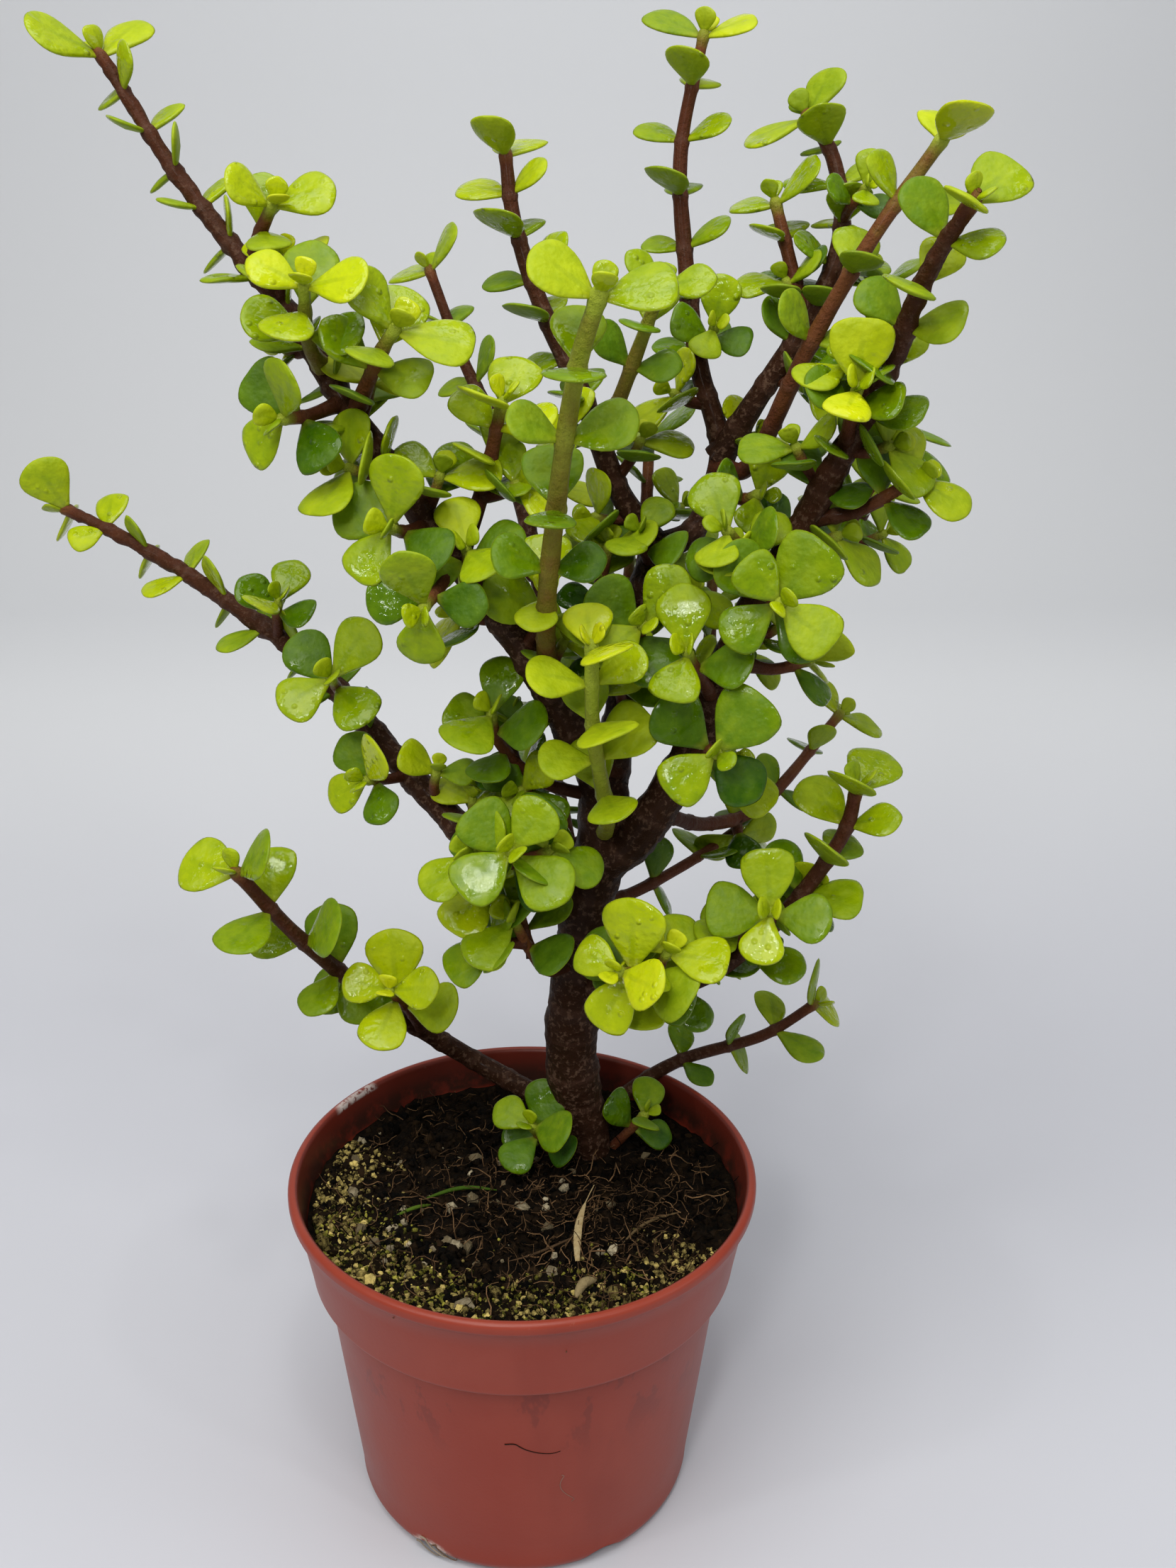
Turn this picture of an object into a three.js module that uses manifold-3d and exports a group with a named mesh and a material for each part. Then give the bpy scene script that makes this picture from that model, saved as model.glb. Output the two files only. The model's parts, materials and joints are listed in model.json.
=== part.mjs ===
// Dwarf jade (elephant bush) growing in a round plastic nursery pot.
// Millimetres, +Z up. The origin is the centre of the pot's underside, where it rests.
import * as THREE from 'three';
import { mergeVertices } from 'three/addons/utils/BufferGeometryUtils.js';
import Module from 'manifold-3d';

const wasm = await Module();
wasm.setup();

// Pot
const potHeight = 92;
const rimRadius = 60;
const lipWidth = 2.6;
const lipHeight = 3;
const collarHeight = 24.4;
const collarFootRadius = 55;
const collarStep = 3.4;
const footRadius = 44.6;
const footRounding = 5;
const wall = 1.4;
const floorThickness = 2;
const potSides = 32;

// Drain notches, cut where the wall meets the floor
const notchCount = 6;
const notchWidth = 13;
const notchHeight = 4.5;
const notchDepth = 9;
const notchBearing = 236;

// Soil: how far its top lies below the rim, and how uneven it is
const headroom = 10;
const soilRelief = 0.9;
const reliefRipple = 0.6;
const soilRings = [0.8, 0.6, 0.4, 0.2, 0];

// Clearance between neighbouring pieces
const fitGap = 0.3;

// Plant: where the trunk stands in the soil, its girth, and the shape of every leaf
const rootX = 17;
const rootY = 20;
const rootDepth = 14;
const trunkRadius = 7.4;
const trunkTopRadius = 6.2;
const stemStep = 9;
const leafWidthShare = 0.84;
const leafThickness = 2.2;
const leafCup = 0.08;
const towardLight = 0.55;
const leafSway = 9;
const leafStretch = 0.1;
const sprigRadius = [1.5, 1.1];
const sprigLean = 0.5;
const sprigRise = 0.2;

// Dry straw blade lying on the soil
const strawLength = 31;
const strawWidth = 2.2;
const strawThickness = 0.8;
const strawBluntEnd = 0.5;
const strawX = 15.4;
const strawY = -15;
const strawBearing = 76;

const soilLevel = potHeight - headroom;
const up = new THREE.Vector3(0, 0, 1);
const away = new THREE.Vector3(0, 1, 0);
const degrees = Math.PI / 180;

// The leaves turn their faces towards the light, which comes from in front and above
const light = new THREE.Vector3(-0.15, -0.75, 0.65);

// Closed solids from geometry, and geometry from closed solids

function solidOf(geometry) {
  const bare = geometry.clone();
  bare.deleteAttribute('normal');
  bare.deleteAttribute('uv');
  const merged = mergeVertices(bare, 1e-4);
  return new wasm.Manifold(new wasm.Mesh({
    numProp: 3,
    vertProperties: new Float32Array(merged.attributes.position.array),
    triVerts: new Uint32Array(merged.index.array),
  }));
}

function geometryOf(solid) {
  const mesh = solid.getMesh();
  const geometry = new THREE.BufferGeometry();
  geometry.setAttribute('position', new THREE.BufferAttribute(new Float32Array(mesh.vertProperties), 3));
  geometry.setIndex(new THREE.BufferAttribute(new Uint32Array(mesh.triVerts), 1));
  geometry.computeVertexNormals();
  return geometry;
}

function largestBody(solid) {
  const bodies = solid.decompose();
  return bodies.reduce((best, body) => (body.volume() > best.volume() ? body : best));
}

function joined(solids) {
  return solids.reduce((whole, solid) => whole.add(solid));
}

function boxesMeet(a, b) {
  return [0, 1, 2].every((axis) => a.min[axis] <= b.max[axis] && b.min[axis] <= a.max[axis]);
}

// Pot and soil

function turned(profile) {
  const points = profile.map(([radius, height]) => new THREE.Vector2(radius, height));
  const geometry = new THREE.LatheGeometry(points, potSides);
  geometry.rotateX(Math.PI / 2);
  return solidOf(geometry);
}

const collarFoot = potHeight - collarHeight;
const bodyTopRadius = collarFootRadius - collarStep;
const collarTopRadius = rimRadius - lipWidth * 0.6;

function drainNotch(bearing) {
  const arch = new THREE.Shape();
  arch.moveTo(-notchWidth / 2, -1);
  arch.lineTo(notchWidth / 2, -1);
  arch.lineTo(notchWidth / 2, 0);
  arch.quadraticCurveTo(notchWidth * 0.38, notchHeight, 0, notchHeight);
  arch.quadraticCurveTo(-notchWidth * 0.38, notchHeight, -notchWidth / 2, 0);
  arch.closePath();
  const cutter = new THREE.ExtrudeGeometry(arch, { depth: notchDepth, bevelEnabled: false, curveSegments: 2 });
  cutter.rotateX(Math.PI / 2);
  cutter.rotateZ(Math.PI / 2);
  cutter.translate(footRadius - notchDepth / 2 - 2.5, 0, 0);
  cutter.rotateZ(bearing * degrees);
  return solidOf(cutter);
}

function buildPot() {
  const outside = [
    [0, 0], [footRadius - footRounding, 0], [footRadius - footRounding * 0.3, footRounding * 0.25],
    [footRadius, footRounding], [bodyTopRadius, collarFoot], [collarFootRadius, collarFoot],
    [collarTopRadius, potHeight - lipHeight], [rimRadius, potHeight - lipHeight],
    [rimRadius, potHeight - lipHeight * 0.25], [rimRadius - lipWidth * 0.25, potHeight],
  ];
  const inside = [
    [rimRadius - lipWidth, potHeight], [collarTopRadius - wall, potHeight - lipHeight],
    [collarFootRadius - wall, collarFoot + wall], [bodyTopRadius - wall, collarFoot],
    [footRadius - wall, footRounding + wall], [footRadius - wall - footRounding * 0.7, floorThickness],
    [0, floorThickness],
  ];
  let pot = turned([...outside, ...inside]);
  for (let i = 0; i < notchCount; i++) {
    pot = pot.subtract(drainNotch(notchBearing + (360 / notchCount) * i));
  }
  return pot;
}

function relief(radius, bearing) {
  const swell = Math.sin(radius * 0.31 + bearing * 3);
  const ripple = Math.sin(radius * 0.17 - bearing * 5);
  return soilRelief * (swell + reliefRipple * ripple);
}

function collarInside(height) {
  const share = (height - collarFoot - wall) / (potHeight - lipHeight - collarFoot - wall);
  return collarFootRadius - wall + (collarTopRadius - collarFootRadius) * share;
}

// The soil fills the pot up to its headroom, and its top is slightly uneven
function buildSoil(rise) {
  const gap = wall + fitGap;
  const level = soilLevel + rise;
  const topRadius = collarInside(level) - fitGap;
  const profile = [
    [0, floorThickness + fitGap], [footRadius - gap - footRounding, floorThickness + fitGap],
    [footRadius - gap, footRounding * 1.4 + gap], [bodyTopRadius - gap, collarFoot], [topRadius, level],
    ...soilRings.map((share) => [topRadius * share, level]),
  ];
  const points = profile.map(([radius, height]) => new THREE.Vector2(radius, height));
  const geometry = new THREE.LatheGeometry(points, potSides / 2);
  geometry.rotateX(Math.PI / 2);
  const corners = geometry.attributes.position;
  for (let i = 0; i < corners.count; i++) {
    const radius = Math.hypot(corners.getX(i), corners.getY(i));
    const bearing = Math.atan2(corners.getY(i), corners.getX(i));
    const onTop = corners.getZ(i) > level - 0.01;
    if (onTop && radius > 1 && radius < topRadius * 0.9) {
      corners.setZ(i, level + relief(radius, bearing));
    }
  }
  return solidOf(geometry);
}

// A pointed blade of straw lies across the soil
function buildStraw() {
  const middle = -strawLength * 0.1;
  const outline = new THREE.Shape();
  outline.moveTo(-strawLength / 2, 0);
  outline.quadraticCurveTo(middle, strawWidth * 0.9, strawLength / 2, strawBluntEnd / 2);
  outline.lineTo(strawLength / 2, -strawBluntEnd / 2);
  outline.quadraticCurveTo(middle, -strawWidth * 0.3, -strawLength / 2, 0);
  const blade = new THREE.ExtrudeGeometry(outline, {
    depth: strawThickness, bevelEnabled: false, curveSegments: 5,
  });
  blade.rotateZ(strawBearing * degrees);
  blade.translate(strawX, strawY, soilLevel + soilRelief * (1 + reliefRipple) + fitGap);
  return solidOf(blade);
}

// Stems: a tapering tube along a smooth curve, closed at both ends

function curveThrough(points) {
  return new THREE.CatmullRomCurve3(points, false, 'catmullrom', 0.5);
}

function stemSolid(curve, [startRadius, endRadius], grow) {
  const length = curve.getLength();
  const steps = Math.max(1, Math.round(length / (startRadius * 2 + stemStep)));
  const sides = startRadius > 4 ? 7 : startRadius > 2 ? 5 : 4;
  const frames = curve.computeFrenetFrames(steps, false);
  const positions = [];
  const faces = [];
  for (let i = 0; i <= steps; i++) {
    const centre = curve.getPointAt(i / steps);
    const radius = startRadius + (endRadius - startRadius) * (i / steps) + grow;
    if (i === 0) centre.addScaledVector(frames.tangents[0], -grow);
    if (i === steps) centre.addScaledVector(frames.tangents[steps], grow);
    for (let j = 0; j < sides; j++) {
      const angle = (2 * Math.PI * j) / sides;
      const point = centre.clone()
        .addScaledVector(frames.normals[i], Math.cos(angle) * radius)
        .addScaledVector(frames.binormals[i], Math.sin(angle) * radius);
      positions.push(point.x, point.y, point.z);
    }
  }
  for (let i = 0; i < steps; i++) {
    for (let j = 0; j < sides; j++) {
      const a = i * sides + j;
      const b = i * sides + ((j + 1) % sides);
      faces.push(a, b, b + sides, a, b + sides, a + sides);
    }
  }
  for (let j = 1; j < sides - 1; j++) {
    faces.push(0, j + 1, j);
    const last = steps * sides;
    faces.push(last, last + j, last + j + 1);
  }
  const geometry = new THREE.BufferGeometry();
  geometry.setAttribute('position', new THREE.Float32BufferAttribute(positions, 3));
  geometry.setIndex(faces);
  return solidOf(geometry);
}

// Leaves: a thick spoon-shaped blade that narrows to its foot inside the stem

const leafOutline = [[0, 0], [0.52, -0.5], [0.96, -0.32], [0.96, 0.32], [0.52, 0.5]];

function leafSolid(leaf, grow) {
  const across = new THREE.Vector3().crossVectors(leaf.face, leaf.along);
  const positions = [];
  const put = (share, side, height) => {
    const point = leaf.foot.clone()
      .addScaledVector(leaf.along, share * leaf.length)
      .addScaledVector(across, side)
      .addScaledVector(leaf.face, height);
    positions.push(point.x, point.y, point.z);
  };
  for (const [share, side] of leafOutline) {
    const halfWidth = side * leaf.length * leafWidthShare;
    const reach = share > 0.9 ? grow / leaf.length : 0;
    put(share + reach, halfWidth + Math.sign(side) * grow, Math.abs(halfWidth) * leafCup);
  }
  const thickness = leafThickness * Math.min(1, 0.4 + leaf.length / 20);
  put(0.55, 0, thickness / 2 + grow);
  put(0.55, 0, -thickness / 2 - grow);
  const count = leafOutline.length;
  const faces = [];
  for (let i = 0; i < count; i++) {
    const next = (i + 1) % count;
    faces.push(i, next, count, next, i, count + 1);
  }
  const geometry = new THREE.BufferGeometry();
  geometry.setAttribute('position', new THREE.Float32BufferAttribute(positions, 3));
  geometry.setIndex(faces);
  return solidOf(geometry);
}

// The heading of a stem at a share of its length, and the way out of it at a bearing about it
function wayOut(curve, share, bearing) {
  const chord = curve.getPointAt(1).sub(curve.getPointAt(0)).normalize();
  const reference = Math.abs(chord.dot(away)) < 0.75 ? away : up;
  const tangent = curve.getTangentAt(share);
  const side = new THREE.Vector3().crossVectors(tangent, reference).normalize();
  const front = new THREE.Vector3().crossVectors(side, tangent);
  const outward = side.multiplyScalar(Math.cos(bearing)).addScaledVector(front, Math.sin(bearing));
  return { tangent, outward };
}

// Opposite pairs of leaves, each pair a quarter turn from the one below
function leavesAlong(curve, shoot) {
  const { first, pairs, size, turn, open } = shoot.leaves;
  const [baseLength, upperLength, tipLength] = size;
  const leaves = [];
  const put = (share, length, bearing, opening) => {
    const { tangent, outward } = wayOut(curve, share, bearing);
    const along = tangent.clone().multiplyScalar(Math.cos(opening)).addScaledVector(outward, Math.sin(opening));
    const face = tangent.clone().multiplyScalar(1 - towardLight).addScaledVector(light, towardLight);
    face.addScaledVector(along, -face.dot(along)).normalize();
    leaves.push({ foot: curve.getPointAt(share), along, face, length });
  };
  for (let i = 0; i < pairs; i++) {
    const step = pairs > 1 ? i / (pairs - 1) : 1;
    const share = Math.min(first + (1 - first) * step, 1 - shoot.radius[1] / curve.getLength());
    const length = i === pairs - 1 ? tipLength : baseLength + (upperLength - baseLength) * step;
    for (let half = 0; half < 2; half++) {
      const sway = leafSway * Math.sin(5 * i + 3 * half);
      const bearing = (turn + 90 * i + 180 * half + sway) * degrees;
      const stretch = 1 + leafStretch * Math.sin(7 * i + 4 * half);
      put(share, length * stretch, bearing, (open + sway * 0.8) * degrees);
    }
  }
  return leaves;
}

// A sprig is a short side twig with a pair of leaves at its tip
function sprigAlong(curve, [at, bearing, reach, leafLength]) {
  const { tangent, outward } = wayOut(curve, at, bearing * degrees);
  const heading = tangent.clone().multiplyScalar(sprigLean).add(outward);
  const start = curve.getPointAt(at);
  const middle = start.clone().addScaledVector(heading, reach * 0.5);
  const end = start.clone().addScaledVector(heading, reach).addScaledVector(up, reach * sprigRise);
  return {
    curve: curveThrough([start, middle, end]),
    shoot: {
      radius: sprigRadius,
      leaves: { first: 1, pairs: 1, size: [leafLength, leafLength, leafLength], turn: bearing, open: 70 },
    },
  };
}

// Every stem leaves its parent at a share of the parent's length, and its path lists offsets from
// there. Leaves: the share of the stem where the first pair sits, how many pairs, the leaf length
// of the first pair, the pair before the tip and the tip pair, the bearing of the first pair about
// the stem, and how far a leaf opens away from it. Sprigs: for each, the share of the stem where it
// leaves, its bearing about the stem, how far it reaches out, and its leaf length.
const shoots = [
  { name: 'left_high_limb', parent: 'trunk', at: 0.98, radius: [4.6, 1.4],
    path: [[-9, -4, 16], [-22, -8, 39], [-45, -6, 70], [-58, 0, 88], [-70, 10, 106], [-83, 18, 120],
      [-96, 25, 136], [-112, 33, 160]],
    leaves: { first: 0.45, pairs: 12, size: [14, 10.5, 16.5], turn: 45, open: 62 },
    sprigs: [[0.16, 200, 9, 15], [0.24, 20, 9, 15], [0.3, 250, 10, 15], [0.38, 190, 8, 14],
      [0.44, 330, 9, 15], [0.5, 200, 8, 14], [0.6, 30, 8, 13], [0.66, 220, 8, 13]] },
  { name: 'left_middle_limb', parent: 'trunk', at: 0.7, radius: [4.2, 1.5],
    path: [[-19, -5, 12], [-39, 7, 28], [-55, 19, 43], [-68, 29, 55], [-81, 39, 62], [-109, 57, 76],
      [-139, 71, 88]],
    leaves: { first: 0.4, pairs: 9, size: [14, 12, 17], turn: 45, open: 60 },
    sprigs: [[0.12, 290, 10, 15], [0.2, 200, 8, 13]] },
  { name: 'centre_limb', parent: 'trunk', at: 0.98, radius: [4.8, 3.4],
    path: [[5, 6, 15], [9, 12, 40], [14, 14, 54]],
    sprigs: [[0.3, 290, 14, 15], [0.5, 0, 12, 14], [0.72, 200, 10, 14], [0.9, 310, 10, 13]] },
  { name: 'right_main_limb', parent: 'trunk', at: 0.81, radius: [5.4, 1.6],
    path: [[10, -5, 10], [22, -10, 34], [32, -12, 63], [46, -15, 92], [56, -28, 121], [59, -40, 139],
      [64, -50, 153]],
    leaves: { first: 0.6, pairs: 8, size: [13, 13, 13.5], turn: 30, open: 62 },
    sprigs: [[0.2, 200, 10, 15], [0.28, 30, 10, 15], [0.38, 160, 10, 14], [0.46, 330, 10, 14],
      [0.53, 190, 9, 14], [0.6, 20, 9, 13], [0.66, 200, 9, 13], [0.74, 350, 8, 13]] },
  { name: 'left_low_branch', parent: 'trunk', at: 0.18, radius: [3.2, 1.6],
    path: [[-13, 12, headroom - 8], [-33, 21, headroom], [-53, 11, 31], [-71, -7, 60], [-84, -18, 84]],
    leaves: { first: 0.56, pairs: 5, size: [17.5, 16.5, 16.5], turn: 30, open: 66 } },
  { name: 'right_low_branch', parent: 'trunk', at: 0.53, radius: [2.8, 1.6],
    path: [[9, -10, 3], [30, -16, 9], [49, -18, 27], [62, -18, 47], [65, -18, 60]],
    leaves: { first: 0.3, pairs: 8, size: [15, 15, 17.5], turn: 30, open: 62 },
    sprigs: [[0.2, 300, 9, 15], [0.35, 90, 9, 15], [0.5, 330, 8, 14], [0.64, 120, 8, 13]] },
  { name: 'right_rim_branch', parent: 'trunk', at: 0.07, radius: [2.2, 1.4],
    path: [[9, 15, headroom], [27, 22, headroom + 9], [52, 27, headroom + 14], [68, 31, headroom + 22]],
    leaves: { first: 0.5, pairs: 4, size: [13, 16.5, 15], turn: 60, open: 66 } },
  { name: 'top_left_stem', parent: 'centre_limb', at: 0.98, radius: [3, 1.5],
    path: [[-10, 1, 14], [-18, 4, 34], [-28, 9, 55], [-34, 13, 73], [-36, 16, 88]],
    leaves: { first: 0.3, pairs: 8, size: [13, 13, 15], turn: 20, open: 62 },
    sprigs: [[0.1, 0, 9, 14], [0.2, 180, 9, 13], [0.3, 320, 8, 12]] },
  { name: 'top_centre_stem', parent: 'centre_limb', at: 0.98, radius: [3, 1.3],
    path: [[9, 0, 6], [14, 3, 23], [9, 9, 42], [6, 18, 66], [5, 24, 89], [10, 28, 114]],
    leaves: { first: 0.42, pairs: 7, size: [11.5, 13, 15], turn: 20, open: 66 },
    sprigs: [[0.22, 180, 8, 13], [0.32, 0, 8, 13]] },
  { name: 'right_centre_stem', parent: 'top_centre_stem', at: 0.22, radius: [3, 1.4],
    path: [[7, -4, 13], [18, -7, 32], [25, -2, 49], [24, 6, 65], [18, 11, 75]],
    leaves: { first: 0.35, pairs: 7, size: [13, 13, 15], turn: 0, open: 66 },
    sprigs: [[0.25, 200, 8, 13], [0.42, 20, 8, 12], [0.55, 180, 7, 11]] },
  { name: 'young_centre_shoot', parent: 'right_centre_stem', at: 0.41, radius: [1.9, 1.3],
    path: [[-4, 5, 15], [-7, 8, 26]],
    leaves: { first: 0.35, pairs: 3, size: [11.5, 13, 13], turn: 30, open: 66 } },
  { name: 'red_front_shoot', parent: 'top_centre_stem', at: 0.2, radius: [2.2, 1.4],
    path: [[6, -12, 3], [14, -28, 29], [25, -32, 51], [39, -30, 71]],
    leaves: { first: 0.5, pairs: 4, size: [13, 13, 13], turn: 0, open: 56 } },
  { name: 'right_back_limb', parent: 'right_main_limb', at: 0.41, radius: [2.8, 1.5],
    path: [[14, 18, 5], [33, 44, 12], [51, 78, 35]],
    leaves: { first: 0.35, pairs: 6, size: [13, 14, 16.5], turn: 45, open: 60 },
    sprigs: [[0.3, 180, 9, 13], [0.5, 0, 9, 13], [0.66, 200, 8, 12]] },
  { name: 'right_twig', parent: 'right_main_limb', at: 0.56, radius: [1.8, 1.2],
    path: [[11, -4, 3], [22, -9, 11]],
    leaves: { first: 0.65, pairs: 3, size: [14, 14, 13], turn: 20, open: 66 } },
  { name: 'yellow_twig', parent: 'right_main_limb', at: 0.66, radius: [1.7, 1.2],
    path: [[-1, -8, 7], [-2, -17, 15]],
    leaves: { first: 0.7, pairs: 2, size: [13, 14, 14], turn: 20, open: 56 } },
  { name: 'front_tall_shoot', parent: 'left_high_limb', at: 0.14, radius: [2.3, 1.7],
    path: [[-1, -19, 23], [1, -33, 51], [4, -43, 75], [8, -49, 90]],
    leaves: { first: 0.4, pairs: 5, size: [14, 15, 15], turn: 0, open: 66 } },
  { name: 'front_bright_shoot', parent: 'trunk', at: 0.86, radius: [2, 1.5],
    path: [[0, -16, 12], [-4, -26, 36], [-5, -33, 58]],
    leaves: { first: 0.4, pairs: 5, size: [16.5, 14, 14], turn: 80, open: 68 } },
  { name: 'green_side_shoot', parent: 'top_left_stem', at: 0.29, radius: [2, 1.3],
    path: [[4, -13, 14], [11, -25, 37]],
    leaves: { first: 0.55, pairs: 3, size: [13, 13, 11.5], turn: 10, open: 60 } },
  { name: 'back_left_stem', parent: 'left_high_limb', at: 0.15, radius: [2.8, 1.3],
    path: [[1, 26, 10], [-8, 61, 43], [-19, 72, 65], [-28, 80, 88]],
    leaves: { first: 0.5, pairs: 5, size: [13, 13, 14], turn: 30, open: 60 },
    sprigs: [[0.3, 0, 9, 13], [0.45, 180, 9, 13]] },
  { name: 'left_upper_twig', parent: 'left_high_limb', at: 0.32, radius: [2.2, 1.3],
    path: [[6, 4, 17], [10, 0, 35]],
    leaves: { first: 0.45, pairs: 4, size: [14, 14, 15], turn: 20, open: 62 },
    sprigs: [[0.4, 200, 8, 13]] },
  { name: 'left_knot_twig', parent: 'left_high_limb', at: 0.51, radius: [1.9, 1.3],
    path: [[7, -11, 14], [11, -14, 20]],
    leaves: { first: 0.55, pairs: 3, size: [15, 15, 16.5], turn: 0, open: 66 } },
  { name: 'left_cap_shoot', parent: 'left_high_limb', at: 0.71, radius: [1.9, 1.2],
    path: [[2, -6, 6], [7, -13, 14]],
    leaves: { first: 0.6, pairs: 2, size: [13, 14, 14], turn: 60, open: 60 } },
  { name: 'left_cup_shoot', parent: 'left_high_limb', at: 0.57, radius: [1.9, 1.2],
    path: [[-2, -10, 7], [-1, -20, 19]],
    leaves: { first: 0.5, pairs: 3, size: [15, 15, 14], turn: 10, open: 70 } },
  { name: 'left_rosette_twig', parent: 'left_middle_limb', at: 0.6, radius: [1.5, 1.1],
    path: [[1, -7, 7], [2, -9, 12]],
    leaves: { first: 0.75, pairs: 2, size: [13, 13, 13], turn: 20, open: 62 } },
  { name: 'four_leaf_twig', parent: 'left_middle_limb', at: 0.45, radius: [1.6, 1.2],
    path: [[-1, -12, 7], [-2, -20, 13]],
    leaves: { first: 0.8, pairs: 2, size: [16.5, 16.5, 16.5], turn: 45, open: 76 } },
  { name: 'left_front_twig', parent: 'left_high_limb', at: 0.32, radius: [1.6, 1.2],
    path: [[-4, -14, -3], [-7, -24, -5]],
    leaves: { first: 0.75, pairs: 2, size: [15, 15, 15], turn: 0, open: 76 } },
  { name: 'left_hanging_twig', parent: 'left_middle_limb', at: 0.32, radius: [1.5, 1.1],
    path: [[-5, -6, 1], [-10, -12, 3]],
    leaves: { first: 0.75, pairs: 2, size: [14, 14, 14], turn: 45, open: 70 } },
  { name: 'left_spur', parent: 'left_middle_limb', at: 0.26, radius: [1.5, 1.1],
    path: [[-1, -5, 7], [0, -7, 12]],
    leaves: { first: 0.9, pairs: 1, size: [11.5, 11.5, 11.5], turn: 0, open: 64 } },
  { name: 'left_inner_twig', parent: 'trunk', at: 0.94, radius: [1.7, 1.2],
    path: [[-15, -2, 5], [-25, -6, 16], [-27, -12, 26]],
    leaves: { first: 0.5, pairs: 4, size: [14, 15, 15], turn: 30, open: 66 },
    sprigs: [[0.4, 300, 8, 14], [0.6, 120, 8, 14]] },
  { name: 'left_fan_shoot', parent: 'left_middle_limb', at: 0.14, radius: [1.9, 1.2],
    path: [[2, -13, 7], [2, -29, 17]],
    leaves: { first: 0.45, pairs: 4, size: [16.5, 16.5, 15], turn: 45, open: 76 },
    sprigs: [[0.5, 0, 9, 15], [0.62, 180, 9, 14]] },
  { name: 'left_lower_twig', parent: 'trunk', at: 0.58, radius: [1.5, 1.2],
    path: [[-9, -12, 4], [-17, -22, 23]],
    leaves: { first: 0.7, pairs: 2, size: [16.5, 17.5, 17.5], turn: 45, open: 76 },
    sprigs: [[0.6, 90, 10, 16], [0.75, 0, 8, 14]] },
  { name: 'left_bright_shoot', parent: 'left_low_branch', at: 0.4, radius: [1.7, 1.2],
    path: [[-2, -10, 11], [-6, -28, 28]],
    leaves: { first: 0.6, pairs: 3, size: [18.5, 16.5, 14], turn: 20, open: 70 } },
  { name: 'front_low_shoot', parent: 'right_low_branch', at: 0.34, radius: [1.8, 1.2],
    path: [[-9, -11, 8], [-20, -24, 16]],
    leaves: { first: 0.65, pairs: 3, size: [18.5, 17.5, 14], turn: 70, open: 76 },
    sprigs: [[0.4, 60, 8, 15], [0.6, 200, 8, 15]] },
  { name: 'right_low_rosette', parent: 'right_low_branch', at: 0.6, radius: [1.6, 1.2],
    path: [[-2, -8, 5], [-4, -16, 11]],
    leaves: { first: 0.75, pairs: 2, size: [16.5, 15, 15], turn: 0, open: 78 } },
  { name: 'right_mid_twig', parent: 'trunk', at: 0.73, radius: [1.8, 1.2],
    path: [[9, 8, -4], [28, 23, -1], [43, 35, 4]],
    leaves: { first: 0.4, pairs: 3, size: [13, 14, 16.5], turn: 0, open: 62 } },
  { name: 'right_red_shoot', parent: 'right_main_limb', at: 0.12, radius: [2, 1.4],
    path: [[16, 21, -12], [34, 41, -14], [59, 66, 3]],
    leaves: { first: 0.65, pairs: 3, size: [11.5, 14, 14], turn: 20, open: 62 },
    sprigs: [[0.45, 180, 8, 13]] },
  { name: 'right_rosette_a', parent: 'right_main_limb', at: 0.44, radius: [1.7, 1.2],
    path: [[1, -12, 3], [1, -24, 6]],
    leaves: { first: 0.6, pairs: 3, size: [17.5, 15, 14], turn: 45, open: 80 } },
  { name: 'right_rosette_b', parent: 'right_main_limb', at: 0.36, radius: [1.7, 1.2],
    path: [[10, 2, -3], [20, 6, -2]],
    leaves: { first: 0.75, pairs: 2, size: [14, 15, 15], turn: 30, open: 62 } },
  { name: 'right_rosette_c', parent: 'right_main_limb', at: 0.23, radius: [1.7, 1.2],
    path: [[1, -12, 4], [2, -24, 7]],
    leaves: { first: 0.7, pairs: 2, size: [17.5, 16.5, 16.5], turn: 45, open: 80 } },
  { name: 'centre_inner_twig', parent: 'centre_limb', at: 0.5, radius: [2, 1.2],
    path: [[-8, -2, 13], [-6, -2, 29]],
    leaves: { first: 0.5, pairs: 3, size: [11.5, 13, 13], turn: 30, open: 62 } },
  { name: 'front_mid_rosette', parent: 'centre_limb', at: 0.5, radius: [1.7, 1.2],
    path: [[0, -18, 10], [0, -30, 17]],
    leaves: { first: 0.75, pairs: 2, size: [16.5, 15, 15], turn: 45, open: 72 } },
  { name: 'right_inner_shoot', parent: 'right_main_limb', at: 0.3, radius: [1.7, 1.2],
    path: [[-6, -12, 11], [-9, -18, 17]],
    leaves: { first: 0.7, pairs: 2, size: [16.5, 15, 15], turn: 30, open: 72 } },
  { name: 'small_top_twig', parent: 'right_centre_stem', at: 0.69, radius: [1.2, 1],
    path: [[0, -8, 3], [2, -14, 7]],
    leaves: { first: 0.6, pairs: 2, size: [9.5, 9.5, 8], turn: 20, open: 60 } },
  { name: 'back_right_twig', parent: 'right_main_limb', at: 0.76, radius: [1.7, 1.2],
    path: [[4, 28, 3], [9, 44, 17]],
    leaves: { first: 0.45, pairs: 3, size: [11.5, 11.5, 13], turn: 20, open: 60 } },
  { name: 'centre_cup_shoot', parent: 'top_centre_stem', at: 0.42, radius: [1.3, 1.1],
    path: [[1, -8, 2], [2, -16, 7]],
    leaves: { first: 0.7, pairs: 2, size: [11.5, 11.5, 11.5], turn: 20, open: 66 } },
  { name: 'basal_left_shoot', parent: 'trunk', at: 0.09, radius: [1.6, 1.2],
    path: [[-9, -4, 5], [-15, -11, 18]],
    leaves: { first: 0.6, pairs: 3, size: [13, 16.5, 14], turn: 45, open: 72 } },
  { name: 'basal_right_shoot', parent: 'trunk', at: 0.06, radius: [1.5, 1.2],
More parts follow.
